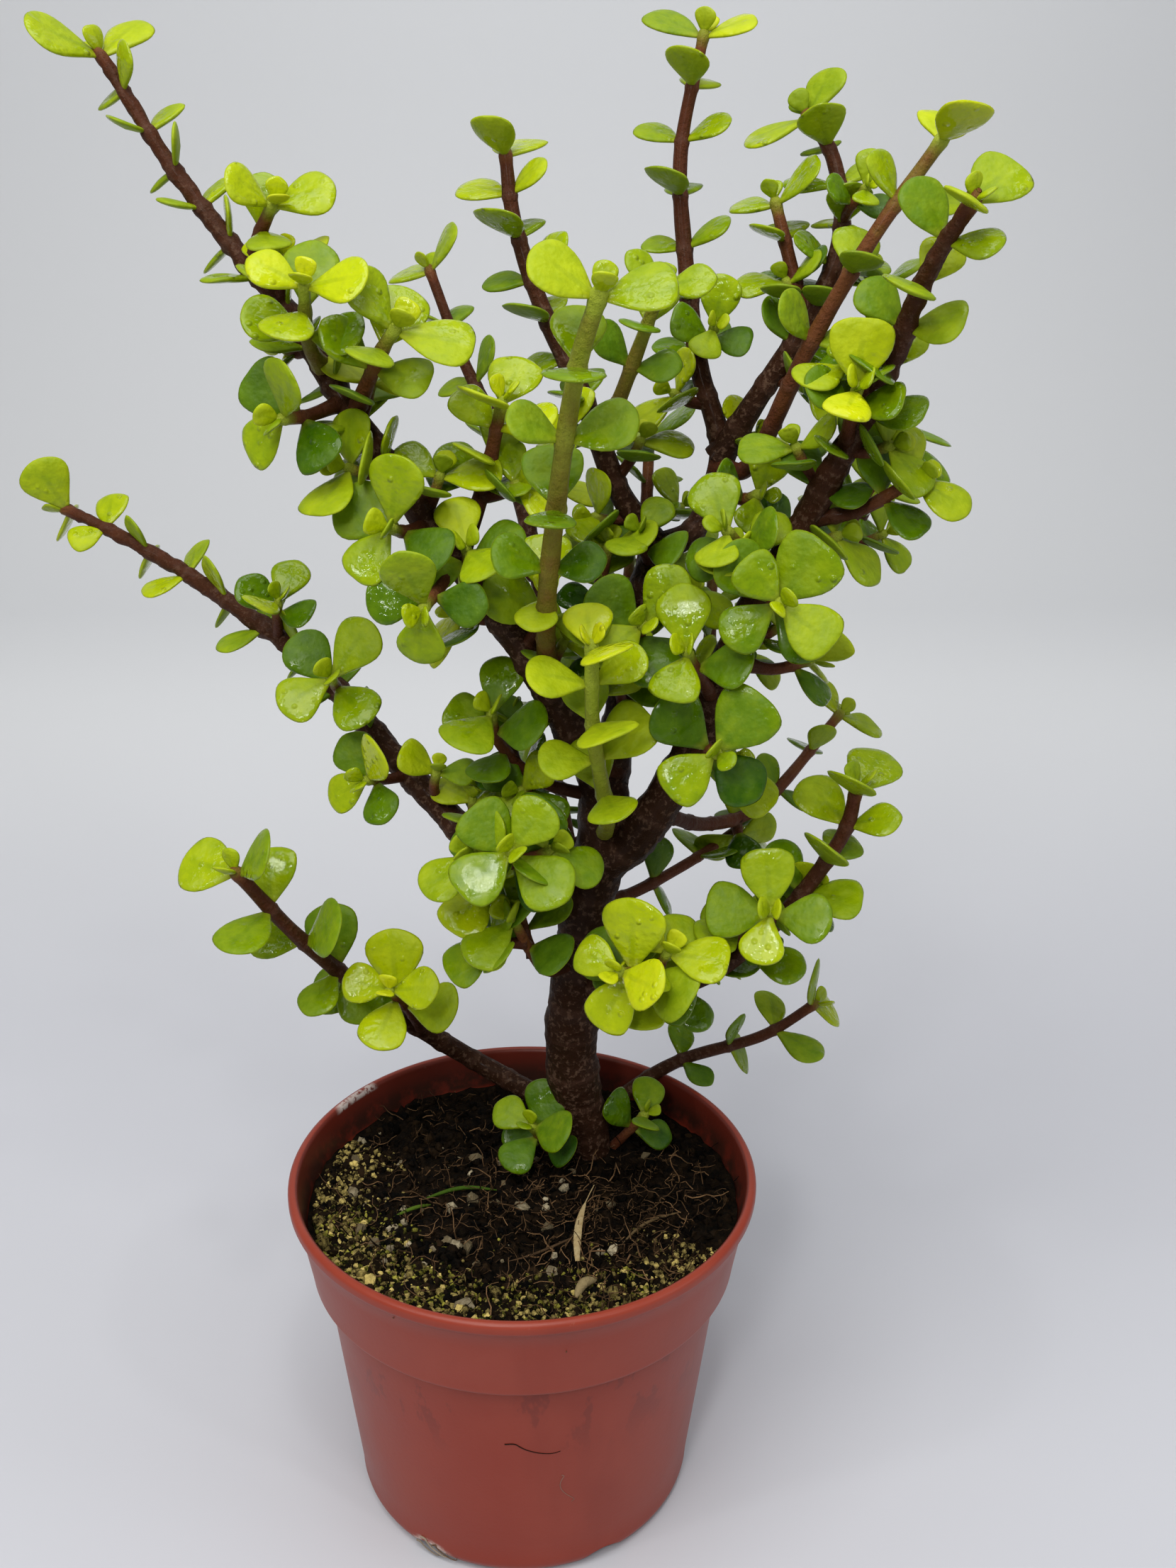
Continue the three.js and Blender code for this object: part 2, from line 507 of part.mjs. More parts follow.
    path: [[9, -1, 10], [16, -2, 19]],
    leaves: { first: 0.75, pairs: 2, size: [13, 13, 11.5], turn: 0, open: 66 } },
  { name: 'back_low_shoot', parent: 'trunk', at: 0.65, radius: [2, 1.3],
    path: [[-2, 18, 12], [-6, 42, 30]],
    leaves: { first: 0.45, pairs: 3, size: [14, 15, 15], turn: 30, open: 64 },
    sprigs: [[0.5, 0, 10, 14], [0.72, 180, 9, 14]] },
  { name: 'back_middle_shoot', parent: 'centre_limb', at: 0.2, radius: [2.1, 1.3],
    path: [[2, 20, 10], [6, 46, 34]],
    leaves: { first: 0.4, pairs: 4, size: [14, 14, 15], turn: 10, open: 64 },
    sprigs: [[0.4, 180, 10, 14], [0.65, 0, 9, 14]] },
  { name: 'back_right_shoot', parent: 'right_main_limb', at: 0.26, radius: [2, 1.3],
    path: [[4, 24, 6], [8, 52, 26]],
    leaves: { first: 0.4, pairs: 4, size: [14, 14, 15], turn: 20, open: 64 },
    sprigs: [[0.45, 0, 10, 14], [0.7, 180, 9, 14]] },
  { name: 'back_high_shoot', parent: 'centre_limb', at: 0.8, radius: [2, 1.3],
    path: [[2, 20, 10], [4, 36, 32]],
    leaves: { first: 0.45, pairs: 3, size: [13, 14, 14], turn: 40, open: 64 },
    sprigs: [[0.5, 180, 9, 13]] },
  { name: 'left_high_fan', parent: 'left_high_limb', at: 0.37, radius: [1.7, 1.2],
    path: [[-5, -8, 0], [-8, -14, 2]],
    leaves: { first: 0.65, pairs: 2, size: [17, 16, 16], turn: 20, open: 74 } },
  { name: 'left_upper_fan', parent: 'left_high_limb', at: 0.53, radius: [1.7, 1.2],
    path: [[-7, -8, -2], [-12, -14, -2]],
    leaves: { first: 0.65, pairs: 2, size: [16, 16, 15], turn: 40, open: 72 } },
  { name: 'left_mid_fan', parent: 'left_high_limb', at: 0.2, radius: [1.7, 1.2],
    path: [[5, -8, 8], [5, -14, 16]],
    leaves: { first: 0.6, pairs: 2, size: [17, 16, 14], turn: 10, open: 70 } },
  { name: 'bright_side_twig', parent: 'top_centre_stem', at: 0.18, radius: [1.7, 1.2],
    path: [[4, -10, -3], [8, -16, -1]],
    leaves: { first: 0.7, pairs: 2, size: [14, 14, 13], turn: 30, open: 70 } },
  { name: 'right_centre_fan', parent: 'right_main_limb', at: 0.5, radius: [1.7, 1.2],
    path: [[-8, -5, 3], [-14, -9, 9]],
    leaves: { first: 0.6, pairs: 2, size: [14, 14, 14], turn: 30, open: 68 } },
];

// The trunk's path, from the middle of the root up
const trunkPath = [[0, 0, -rootDepth], [0, 0, 2], [-4, -2, 33], [-2, -5, 64], [3, -8, 97], [3, -8, 115]];

// Each piece is cut clear of the pieces placed before it, and keeps its largest body

const root = new THREE.Vector3(rootX, rootY, soilLevel);
const curves = { trunk: curveThrough(trunkPath.map((step) => root.clone().add(new THREE.Vector3(...step)))) };

function growShoot(shoot, grow) {
  const curve = curves[shoot.name];
  const stem = stemSolid(curve, shoot.radius, grow);
  const leaves = shoot.leaves ? leavesAlong(curve, shoot) : [];
  const pieces = [stem, ...leaves.map((leaf) => leafSolid(leaf, grow))];
  for (const settings of shoot.sprigs ?? []) {
    const sprig = sprigAlong(curve, settings);
    pieces.push(stemSolid(sprig.curve, sprig.shoot.radius, grow));
    pieces.push(...leavesAlong(sprig.curve, sprig.shoot).map((leaf) => leafSolid(leaf, grow)));
  }
  return joined(pieces);
}

const terracotta = { color: 0x8a4638, roughness: 0.5, metalness: 0 };
const barkBrown = { color: 0x4a3530, roughness: 0.7, metalness: 0 };
const peatBrown = { color: 0x2b221b, roughness: 0.95, metalness: 0 };
const strawTan = { color: 0xc9b78c, roughness: 0.8, metalness: 0 };
const leafGreen = { color: 0x7f9c1e, roughness: 0.35, metalness: 0 };

const group = new THREE.Group();
const placed = [];

function place(name, solid, grown, finish) {
  const box = solid.boundingBox();
  let shape = solid;
  for (const other of placed) {
    if (boxesMeet(box, other.boundingBox())) shape = shape.subtract(other);
  }
  placed.push(grown);
  const mesh = new THREE.Mesh(geometryOf(largestBody(shape)), new THREE.MeshStandardMaterial(finish));
  mesh.name = name;
  group.add(mesh);
}

const trunk = { name: 'trunk', radius: [trunkRadius, trunkTopRadius] };
const pot = buildPot();
const straw = buildStraw();
place('pot', pot, pot, terracotta);
place('trunk', growShoot(trunk, 0), growShoot(trunk, fitGap), barkBrown);
place('soil', buildSoil(0), buildSoil(fitGap), peatBrown);
place('straw_blade', straw, straw, strawTan);

for (const shoot of shoots) {
  const start = curves[shoot.parent].getPointAt(shoot.at);
  const steps = shoot.path.map((step) => start.clone().add(new THREE.Vector3(...step)));
  curves[shoot.name] = curveThrough([start, ...steps]);
}
for (const shoot of shoots) {
  place(shoot.name, growShoot(shoot, 0), growShoot(shoot, fitGap), leafGreen);
}

export default group;
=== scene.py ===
import json
import math
import random

import bpy
import numpy as np
from mathutils import Euler, Matrix, Vector

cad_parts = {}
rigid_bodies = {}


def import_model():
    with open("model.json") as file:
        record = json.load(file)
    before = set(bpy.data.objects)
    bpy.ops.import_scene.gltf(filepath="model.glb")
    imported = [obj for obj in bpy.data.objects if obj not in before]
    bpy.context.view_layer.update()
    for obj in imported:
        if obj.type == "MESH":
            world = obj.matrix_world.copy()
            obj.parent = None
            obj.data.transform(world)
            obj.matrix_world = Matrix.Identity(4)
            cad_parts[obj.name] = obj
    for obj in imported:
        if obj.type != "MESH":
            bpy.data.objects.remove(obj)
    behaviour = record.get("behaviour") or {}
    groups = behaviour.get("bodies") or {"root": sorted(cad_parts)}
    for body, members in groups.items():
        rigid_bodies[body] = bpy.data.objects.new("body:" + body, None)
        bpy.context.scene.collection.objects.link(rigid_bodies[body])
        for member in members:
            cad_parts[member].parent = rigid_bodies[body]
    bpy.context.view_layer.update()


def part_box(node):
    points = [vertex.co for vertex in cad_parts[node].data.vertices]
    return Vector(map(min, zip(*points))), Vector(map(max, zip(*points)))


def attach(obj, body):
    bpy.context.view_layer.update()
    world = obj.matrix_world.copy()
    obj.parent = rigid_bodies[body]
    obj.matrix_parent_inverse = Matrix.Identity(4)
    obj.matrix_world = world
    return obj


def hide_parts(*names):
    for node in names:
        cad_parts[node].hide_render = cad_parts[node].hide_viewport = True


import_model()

mm = 0.001
chance = random.Random(11)


def selectOnly(piece):
    bpy.ops.object.select_all(action="DESELECT")
    piece.select_set(True)
    bpy.context.view_layer.objects.active = piece


def pickVertices(piece, wanted):
    # selects the vertices that wanted(place) is true for, and leaves the piece in edit mode
    bpy.ops.object.mode_set(mode="EDIT")
    bpy.ops.mesh.select_mode(type="VERT")
    bpy.ops.mesh.select_all(action="DESELECT")
    bpy.ops.object.mode_set(mode="OBJECT")
    for vertex in piece.data.vertices:
        vertex.select = wanted(vertex.co)
    bpy.ops.object.mode_set(mode="EDIT")


def settle(piece):
    # place, turn and size go into the mesh
    selectOnly(piece)
    bpy.ops.object.transform_apply(location=True, rotation=True, scale=True)


def applyModifier(piece, kind, **settings):
    selectOnly(piece)
    modifier = piece.modifiers.new(kind.lower(), kind)
    for key, value in settings.items():
        setattr(modifier, key, value)
    bpy.ops.object.modifier_apply(modifier=modifier.name)


def finishMesh(piece, sharpAngle=40):
    selectOnly(piece)
    bpy.ops.object.mode_set(mode="EDIT")
    bpy.ops.mesh.select_all(action="SELECT")
    bpy.ops.mesh.remove_doubles(threshold=1e-6)
    bpy.ops.mesh.normals_make_consistent(inside=False)
    bpy.ops.object.mode_set(mode="OBJECT")
    bpy.ops.object.shade_smooth_by_angle(angle=math.radians(sharpAngle))


def joinPieces(pieces, name):
    bpy.ops.object.select_all(action="DESELECT")
    for piece in pieces:
        piece.select_set(True)
    bpy.context.view_layer.objects.active = pieces[0]
    if len(pieces) > 1:
        bpy.ops.object.join()
    pieces[0].name = name
    pieces[0].data.name = name
    return pieces[0]


def copyOf(model, matrix):
    twin = model.copy()
    twin.data = model.data.copy()
    twin.data.transform(matrix)
    bpy.context.collection.objects.link(twin)
    return twin


def discard(models):
    for model in models:
        bpy.data.objects.remove(model, do_unlink=True)


def writeAttribute(piece, name, values):
    store = piece.data.attributes.get(name) or piece.data.attributes.new(name, "FLOAT", "POINT")
    store.data.foreach_set("value", np.asarray(values, dtype=np.float32))


def placesOf(piece):
    flat = np.empty(len(piece.data.vertices) * 3, dtype=np.float32)
    piece.data.vertices.foreach_get("co", flat)
    return flat.reshape(-1, 3)


def hand(piece, slotName, material, *nodes):
    # the piece rides with the plant and takes its finish
    piece.data.materials.clear()
    piece.data.materials.append(material)
    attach(piece, "root")
    if nodes:
        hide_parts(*nodes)
    return piece


class Wire:
    # one shader socket, which sums can be written on
    def __init__(self, paint, socket):
        self.paint = paint
        self.socket = socket

    def sum(self, operation, first, second):
        return self.paint.node("ShaderNodeMath", {"operation": operation}, {0: first, 1: second})

    def __add__(self, other):
        return self.sum("ADD", self, other)

    def __radd__(self, other):
        return self.sum("ADD", other, self)

    def __sub__(self, other):
        return self.sum("SUBTRACT", self, other)

    def __rsub__(self, other):
        return self.sum("SUBTRACT", other, self)

    def __mul__(self, other):
        return self.sum("MULTIPLY", self, other)

    def __rmul__(self, other):
        return self.sum("MULTIPLY", other, self)

    def __truediv__(self, other):
        return self.sum("DIVIDE", self, other)

    def __pow__(self, other):
        return self.sum("POWER", self, other)


class Paint:
    # a material with one Principled shader, and one way of adding any other node
    def __init__(self, name, **constants):
        self.material = bpy.data.materials.new(name)
        self.material.use_nodes = True
        self.tree = self.material.node_tree
        self.shader = self.tree.nodes["Principled BSDF"]
        for key, value in constants.items():
            self.shader.inputs[key.replace("_", " ")].default_value = value

    def node(self, kind, settings=None, sockets=None, out=0):
        made = self.tree.nodes.new(kind)
        for key, value in (settings or {}).items():
            if key == "stops":
                ramp = made.color_ramp
                while len(ramp.elements) < len(value):
                    ramp.elements.new(0.5)
                for element, (place, colour) in zip(ramp.elements, value):
                    element.position = place
                    element.color = (*colour, 1)
            else:
                setattr(made, key, value)
        for key, value in (sockets or {}).items():
            self.join(value, made.inputs[key])
        return Wire(self, made.outputs[out])

    def join(self, value, socket):
        if isinstance(value, Wire):
            self.tree.links.new(value.socket, socket)
        elif isinstance(value, tuple) and len(value) == 3 and socket.type == "RGBA":
            socket.default_value = (*value, 1)
        else:
            socket.default_value = value

    def objectPlace(self):
        return self.node("ShaderNodeTexCoord", out="Object")

    def attribute(self, name):
        return self.node("ShaderNodeAttribute", {"attribute_name": name}, out="Fac")

    def noise(self, scale, detail, roughness, place, stretch=None):
        if stretch:
            place = self.node("ShaderNodeMapping", {}, {"Vector": place, "Scale": stretch})
        sockets = {"Vector": place, "Scale": scale, "Detail": detail, "Roughness": roughness}
        return self.node("ShaderNodeTexNoise", {}, sockets)

    def spots(self, scale, place):
        # how far the nearest of many scattered points is
        return self.node("ShaderNodeTexVoronoi", {}, {"Vector": place, "Scale": scale})

    def between(self, value, low, high, fromValue=0.0, toValue=1.0):
        # runs smoothly from one number to another while value goes from low to high
        settings = {"interpolation_type": "SMOOTHSTEP"}
        sockets = {"Value": value, "From Min": low, "From Max": high, "To Min": fromValue, "To Max": toValue}
        return self.node("ShaderNodeMapRange", settings, sockets)

    def mix(self, share, first, second):
        # the sockets of a colour mix are its numbers 0, 6 and 7, and its result is number 2
        return self.node("ShaderNodeMix", {"data_type": "RGBA"}, {0: share, 6: first, 7: second}, out=2)

    def ramp(self, value, *stops):
        return self.node("ShaderNodeValToRGB", {"stops": stops}, {"Fac": value})

    def axis(self, letter, place=None):
        return self.node("ShaderNodeSeparateXYZ", {}, {"Vector": place or self.objectPlace()}, out=letter)

    def relief(self, *layers):
        # each layer is a height and how far it stands out, in metres
        normal = None
        for height, distance in layers:
            sockets = {"Height": height, "Distance": distance, "Strength": 1.0}
            if normal:
                sockets["Normal"] = normal
            normal = self.node("ShaderNodeBump", {}, sockets)
        self.join(normal, self.shader.inputs["Normal"])

    def coat(self, **sockets):
        for key, value in sockets.items():
            self.join(value, self.shader.inputs[key.replace("_", " ")])
        return self.material


cameraPlace = {"at": (-0.0025, -0.3254, 0.3211), "down": 20.8, "right": 3.2, "roll": 0.6, "lens": 34.18}


def addCamera():
    bpy.ops.object.select_all(action="DESELECT")
    bpy.ops.object.camera_add(location=cameraPlace["at"])
    camera = bpy.context.object
    turn = Matrix.Rotation(math.radians(-cameraPlace["right"]), 4, "Z")
    turn = turn @ Matrix.Rotation(math.radians(90 - cameraPlace["down"]), 4, "X")
    turn = turn @ Matrix.Rotation(math.radians(cameraPlace["roll"]), 4, "Z")
    camera.matrix_world = Matrix.Translation(cameraPlace["at"]) @ turn
    camera.data.lens = cameraPlace["lens"]
    camera.data.clip_start = 0.01
    bpy.context.scene.camera = camera


room = {
    "floorSize": 8.0, "wallAt": 0.95, "curve": 0.45, "wallHeight": 2.2, "floor": (0.555, 0.562, 0.605),
    "wall": (0.80, 0.81, 0.825), "air": (0.86, 0.875, 0.90), "airStrength": 0.27,
}


def addRoom():
    # one sheet: the floor, a curve and a wall behind it
    bpy.ops.object.select_all(action="DESELECT")
    half = room["floorSize"] / 2
    bpy.ops.mesh.primitive_plane_add(size=1)
    sheet = bpy.context.object
    sheet.name = "studio_sweep"
    sheet.data.transform(Matrix.Diagonal((room["floorSize"], half + room["wallAt"], 1, 1)))
    sheet.data.transform(Matrix.Translation((0, (room["wallAt"] - half) / 2, -0.0002)))
    pickVertices(sheet, lambda place: place.y > room["wallAt"] - 0.01)
    bpy.ops.mesh.select_mode(type="EDGE")
    steps = 12
    for step in range(steps):
        before = math.radians(90) * step / steps
        after = math.radians(90) * (step + 1) / steps
        away = math.sin(after) - math.sin(before)
        rise = math.cos(before) - math.cos(after)
        move = Vector((0, away, rise)) * room["curve"]
        bpy.ops.mesh.extrude_edges_move(TRANSFORM_OT_translate={"value": move})
    bpy.ops.mesh.extrude_edges_move(TRANSFORM_OT_translate={"value": (0, 0, room["wallHeight"])})
    bpy.ops.object.mode_set(mode="OBJECT")
    bpy.ops.object.shade_smooth()
    paint = Paint("sweepPaper", Roughness=0.9, Specular_IOR_Level=0.2)
    # painted shading: the one sheet is painted darker on the floor and lighter up the wall
    depth = paint.axis("Y")
    share = paint.between(depth, 0.15, 0.75)
    sheet.data.materials.append(paint.coat(Base_Color=paint.mix(share, room["floor"], room["wall"])))

    world = bpy.data.worlds.new("studio_air")
    bpy.context.scene.world = world
    world.use_nodes = True
    air = world.node_tree.nodes["Background"]
    air.inputs["Color"].default_value = (*room["air"], 1)
    air.inputs["Strength"].default_value = room["airStrength"]


lamps = {
    "top_soft": {"at": (-0.22, -0.5, 1.15), "size": 0.95, "power": 10.2, "colour": (1.0, 0.985, 0.95)},
    "front_window": {"at": (-0.16, -0.62, 0.62), "size": 0.10, "power": 1.1, "colour": (1.0, 1.0, 0.98)},
    "left_glint": {"at": (-0.55, -0.35, 0.62), "size": 0.07, "power": 0.5, "colour": (1.0, 1.0, 0.98)},
    "high_glint": {"at": (0.05, -0.42, 0.95), "size": 0.07, "power": 0.55, "colour": (1.0, 1.0, 0.98)},
    "right_glint": {"at": (0.42, -0.5, 0.7), "size": 0.07, "power": 0.5, "colour": (1.0, 1.0, 0.98)},
    "right_soft": {"at": (0.95, -0.35, 0.6), "size": 0.5, "power": 1.3, "colour": (0.95, 0.97, 1.0)},
    "wall_wash": {
        "at": (0.1, 0.25, 1.5), "size": 0.9, "power": 6.5, "colour": (0.98, 0.985, 1.0),
        "to": (0.1, 1.3, 0.5)},
}


def addLamps():
    for name, lamp in lamps.items():
        bpy.ops.object.light_add(type="AREA", location=lamp["at"])
        light = bpy.context.object
        light.name = name
        light.data.shape = "DISK"
        light.data.size = lamp["size"]
        light.data.energy = lamp["power"]
        light.data.color = lamp["colour"]
        towards = Vector(lamp.get("to", (0, 0, 0.17))) - Vector(lamp["at"])
        light.rotation_euler = towards.to_track_quat("-Z", "Y").to_euler()


addCamera()
addRoom()
addLamps()
bpy.context.scene.view_settings.view_transform = "Standard"
print("camera, room and lamps are up")


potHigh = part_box("pot")[1]
soilLow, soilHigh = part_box("soil")

potShape = {
    "rim": potHigh.x, "height": potHigh.z, "lipWidth": 2.6 * mm, "lipHeight": 3 * mm,
    "collar": 24.4 * mm, "collarFoot": 55 * mm, "collarStep": 3.4 * mm, "foot": 44.6 * mm,
    "footRounding": 5 * mm, "wall": 1.4 * mm, "floor": 2 * mm, "sides": 128,
    "notches": 6, "notchWidth": 13 * mm, "notchHeight": 4.5 * mm,
    "notchDepth": 9 * mm, "notchBearing": 236, "scuffAt": (-46 * mm, 34 * mm, 90 * mm),
}
# the paler clay tone serves both a random cloudy variation and the painted highlights on the collar's foot
# and the lip
potTerracotta = {
    "clay": (0.248, 0.029, 0.012), "deep": (0.180, 0.020, 0.008), "paleClayAndHighlight": (0.288, 0.048, 0.026),
    "dust": (0.42, 0.22, 0.17), "damp": (0.130, 0.018, 0.011), "inner": (0.090, 0.014, 0.009),
}


def arc(centre, radius, fromAngle, toAngle, steps):
    angles = [math.radians(fromAngle + (toAngle - fromAngle) * step / steps) for step in range(steps + 1)]
    return [(centre[0] + radius * math.cos(angle), centre[1] + radius * math.sin(angle)) for angle in angles]


def turnOnAxis(name, profile, sides):
    # a disc drawn up through every ring of the profile, which ends with the disc that closes it
    bpy.ops.object.select_all(action="DESELECT")
    firstRadius, firstHeight = profile[0]
    bpy.ops.mesh.primitive_circle_add(
        vertices=sides, radius=firstRadius, fill_type="NGON", location=(0, 0, firstHeight))
    piece = bpy.context.object
    piece.name = name
    settle(piece)
    bpy.ops.object.mode_set(mode="EDIT")
    bpy.ops.mesh.select_all(action="SELECT")
    for (radius, height), (nextRadius, nextHeight) in zip(profile, profile[1:]):
        bpy.ops.mesh.extrude_region_move(TRANSFORM_OT_translate={"value": (0, 0, nextHeight - height)})
        ratio = nextRadius / radius
        bpy.ops.transform.resize(value=(ratio, ratio, 1), center_override=(0, 0, nextHeight))
    bpy.ops.object.mode_set(mode="OBJECT")
    return piece


def modelPot():
    shape = potShape
    foot, rounding, wall = shape["foot"], shape["footRounding"], shape["wall"]
    collarFoot = shape["height"] - shape["collar"]
    bodyTop = shape["collarFoot"] - shape["collarStep"]
    lipFoot = shape["height"] - shape["lipHeight"]
    collarTop = shape["rim"] - shape["lipWidth"] * 0.6
    outside = [(foot - rounding - 3 * mm, 0.0)]
    outside += arc((foot - rounding + 0.6 * mm, rounding * 0.9), rounding * 0.9, -90, -8, 7)
    rings = 10
    for ring in range(rings + 1):
        share = ring / rings
        height = rounding + (collarFoot - 1.9 * mm - rounding) * share
        outside.append((foot + (bodyTop - foot) * share, height))
    outside += arc((bodyTop + 1 * mm, collarFoot - 1.6 * mm), 1 * mm, 172, 108, 4)
    outside += arc((shape["collarFoot"] - 1.5 * mm, collarFoot + 0.9 * mm), 1.5 * mm, -76, 0, 6)
    for share in (0.15, 0.4, 0.7, 0.95):
        height = collarFoot + 1.4 * mm + (lipFoot - collarFoot - 1.4 * mm) * share
        outside.append((shape["collarFoot"] + (collarTop - shape["collarFoot"]) * share, height))
    outside.append((collarTop + 0.5 * mm, lipFoot - 0.15 * mm))
    bead = shape["lipWidth"] / 2
    lipCentre = shape["rim"] - bead
    outside += arc((lipCentre, lipFoot + bead * 0.55), bead, -58, 0, 4)
    outside += arc((lipCentre, shape["height"] - bead), bead, 0, 180, 10)
    inside = [(collarTop - wall, lipFoot - 0.2 * mm), (shape["collarFoot"] - wall, collarFoot + wall)]
    inside += [(bodyTop - wall, collarFoot - 1 * mm), (foot - wall, rounding + wall)]
    inside += [(foot - wall - rounding * 0.7, shape["floor"]), (4 * mm, shape["floor"])]
    pot = turnOnAxis("pot_shell", outside + inside, shape["sides"])
    finishMesh(pot)

    cutters = []
    for notch in range(shape["notches"]):
        bpy.ops.object.select_all(action="DESELECT")
        bpy.ops.mesh.primitive_cylinder_add(
            vertices=40, radius=shape["notchWidth"] / 2, depth=shape["notchDepth"],
            rotation=(0, math.pi / 2, 0))
        arch = bpy.context.object
        arch.scale = (2 * shape["notchHeight"] / shape["notchWidth"], 1, 1)
        settle(arch)
        bearing = math.radians(shape["notchBearing"] + 360 / shape["notches"] * notch)
        out = Matrix.Translation((foot - 2.5 * mm, 0, -0.3 * mm))
        arch.data.transform(Matrix.Rotation(bearing, 4, "Z") @ out)
        cutters.append(arch)
    arches = joinPieces(cutters, "notch_arches")
    applyModifier(pot, "BOOLEAN", operation="DIFFERENCE", object=arches, solver="EXACT")
    discard([arches])
    finishMesh(pot, 32)
    return pot


def potFinish():
    colours = potTerracotta
    shape = potShape
    paint = Paint("terracottaPlastic", IOR=1.46, Coat_Roughness=0.2, Specular_IOR_Level=0.34)
    place = paint.objectPlace()
    height = paint.axis("Z", place)
    flow = paint.noise(1, 3, 0.6, place, stretch=(60, 60, 12))
    cloud = paint.noise(26, 4, 0.6, place)
    speck = paint.noise(900, 2, 0.6, place)
    base = paint.mix(paint.between(cloud, 0.36, 0.74) * 0.7, colours["clay"], colours["paleClayAndHighlight"])
    base = paint.mix(paint.between(flow, 0.5, 0.74) * 0.3, base, colours["deep"])
    # damp blotches hang below the collar, and a paler band along its lower edge is a painted highlight
    collarFoot = shape["height"] - shape["collar"]
    underCollar = paint.between(height, collarFoot - 30 * mm, collarFoot - 12 * mm)
    underCollar = underCollar * paint.between(height, collarFoot, collarFoot - 2 * mm)
    wet = paint.between(paint.noise(110, 4, 0.66, place, stretch=(1, 1, 0.42)), 0.53, 0.58) * underCollar
    base = paint.mix(wet * 0.46, base, colours["damp"])
    # painted highlight: a pale line painted along the collar's foot
    collarFootHighlight = paint.between(height, collarFoot - 1.2 * mm, collarFoot - 0.2 * mm)
    collarFootHighlight = collarFootHighlight * paint.between(height, collarFoot + 1.8 * mm, collarFoot + 0.6 * mm)
    base = paint.mix(collarFootHighlight * 0.2, base, colours["paleClayAndHighlight"])
    # rubbed edges round the notches, a painted highlight along the top of the lip, chips and a scuff on the
    # lip
    aside = paint.node("ShaderNodeMapping", {}, {
        "Vector": place, "Rotation": (0, 0, math.radians(-shape["notchBearing"]))})
    across = paint.axis("Y", aside) / (shape["notchWidth"] / 2)
    rise = (height + 0.3 * mm) / shape["notchHeight"]
    ring = (across * across + rise * rise) ** 0.5
    rubbed = paint.between(ring, 1.4, 1.04) * paint.between(paint.axis("X", aside), 0, 10 * mm)
    rubbed = rubbed * paint.between(paint.noise(380, 4, 0.7, place), 0.38, 0.6)
    base = paint.mix(rubbed * 0.8, base, (0.62, 0.52, 0.46))
    # painted highlight: the top of the lip is painted paler
    lip = paint.between(height, shape["height"] - 2.6 * mm, shape["height"] - 0.8 * mm)
    base = paint.mix(lip * 0.3, base, colours["paleClayAndHighlight"])
    chips = lip * paint.between(paint.noise(150, 5, 0.75, place), 0.64, 0.72)
    base = paint.mix(chips * 0.5, base, colours["dust"])
    # the inside is painted darker as painted shade, and near the soil's level it carries soil stains,
    # deepened with painted shade
    radius = (paint.axis("X", place) ** 2 + paint.axis("Y", place) ** 2) ** 0.5
    collarTop = shape["rim"] - shape["lipWidth"] * 0.6
    lean = (collarTop - shape["collarFoot"]) / (shape["collar"] - shape["lipHeight"])
    outFace = (height - collarFoot) * lean + shape["collarFoot"]
    within = paint.between(radius - outFace, -0.6 * mm, -1.0 * mm)
    within = within * paint.between(height, soilHigh.z - 3 * mm, soilHigh.z - 1 * mm)
    # painted shade: the inside wall above the soil is darkened
    base = paint.mix(within * 0.7, base, colours["inner"])
    # soil stains on the inside wall, deepened as painted shade
    soilStainAndShade = within * paint.between(height, shape["height"] - 1 * mm, shape["height"] - 8 * mm)
    soilStainAndShade = soilStainAndShade * paint.between(paint.noise(130, 5, 0.7, place), 0.32, 0.54)
    base = paint.mix(soilStainAndShade * 0.85, base, (0.022, 0.011, 0.007))
    gap = paint.node(
        "ShaderNodeVectorMath", {"operation": "DISTANCE"}, {0: place, 1: shape["scuffAt"]}, out="Value")
    scuff = paint.between(gap, 9 * mm, 6 * mm) * paint.between(paint.noise(520, 4, 0.7, place), 0.36, 0.52)
    scuff = scuff * paint.between(radius, shape["rim"] - 0.9 * mm, shape["rim"] - 1.4 * mm)
    scuff = scuff * paint.between(height, shape["height"] - 1.9 * mm, shape["height"] - 1.1 * mm)
    base = paint.mix(scuff * 0.8, base, (0.66, 0.58, 0.54))
    base = paint.mix(paint.between(speck, 0.6, 0.75) * 0.12, base, colours["deep"])
    gloss = paint.between(cloud, 0.3, 0.75, 0.38, 0.48) + rubbed * 0.2
    paint.relief((speck, 0.03 * mm), (flow, 0.10 * mm))
    return paint.coat(Base_Color=base, Roughness=gloss, Coat_Weight=0.05)


hand(modelPot(), "pot_plastic", potFinish(), "pot")
print("pot is turned and notched")


# how far clods and grains stand out of the bed, and how many of each thing lie on it
soilLook = {
    "relief": 3.6 * mm, "grain": 1.8 * mm,
    "crumbs": 2600, "grit": 90, "fibres": 760, "crust": 3000, "clods": 110,
}
headroom = 10  # the rim's height above the soil, in millimetres
trunkFoot = (17, 20)  # where the trunk stands, in millimetres
soilRadius = soilHigh.x
soilLevel = potShape["height"] - headroom * mm
rootAt = Vector((trunkFoot[0] * mm, trunkFoot[1] * mm, soilLevel))


def surfaceHeight(x, y):
    # the soil's swells, higher against the wall at the front left and round the trunk
    swell = math.sin(x * 140 + 1.3) * math.cos(y * 120 - 0.4) + 0.6 * math.sin(x * 260 - y * 210)
    towardsTrunk = math.exp(-((x - rootAt.x) ** 2 + (y - rootAt.y) ** 2) / (15 * mm) ** 2)
    frontLeft = math.exp(-((x + 32 * mm) ** 2 + (y + 30 * mm) ** 2) / (22 * mm) ** 2)
    return soilLevel + swell * 0.7 * mm + towardsTrunk * 1.6 * mm + frontLeft * 1.8 * mm


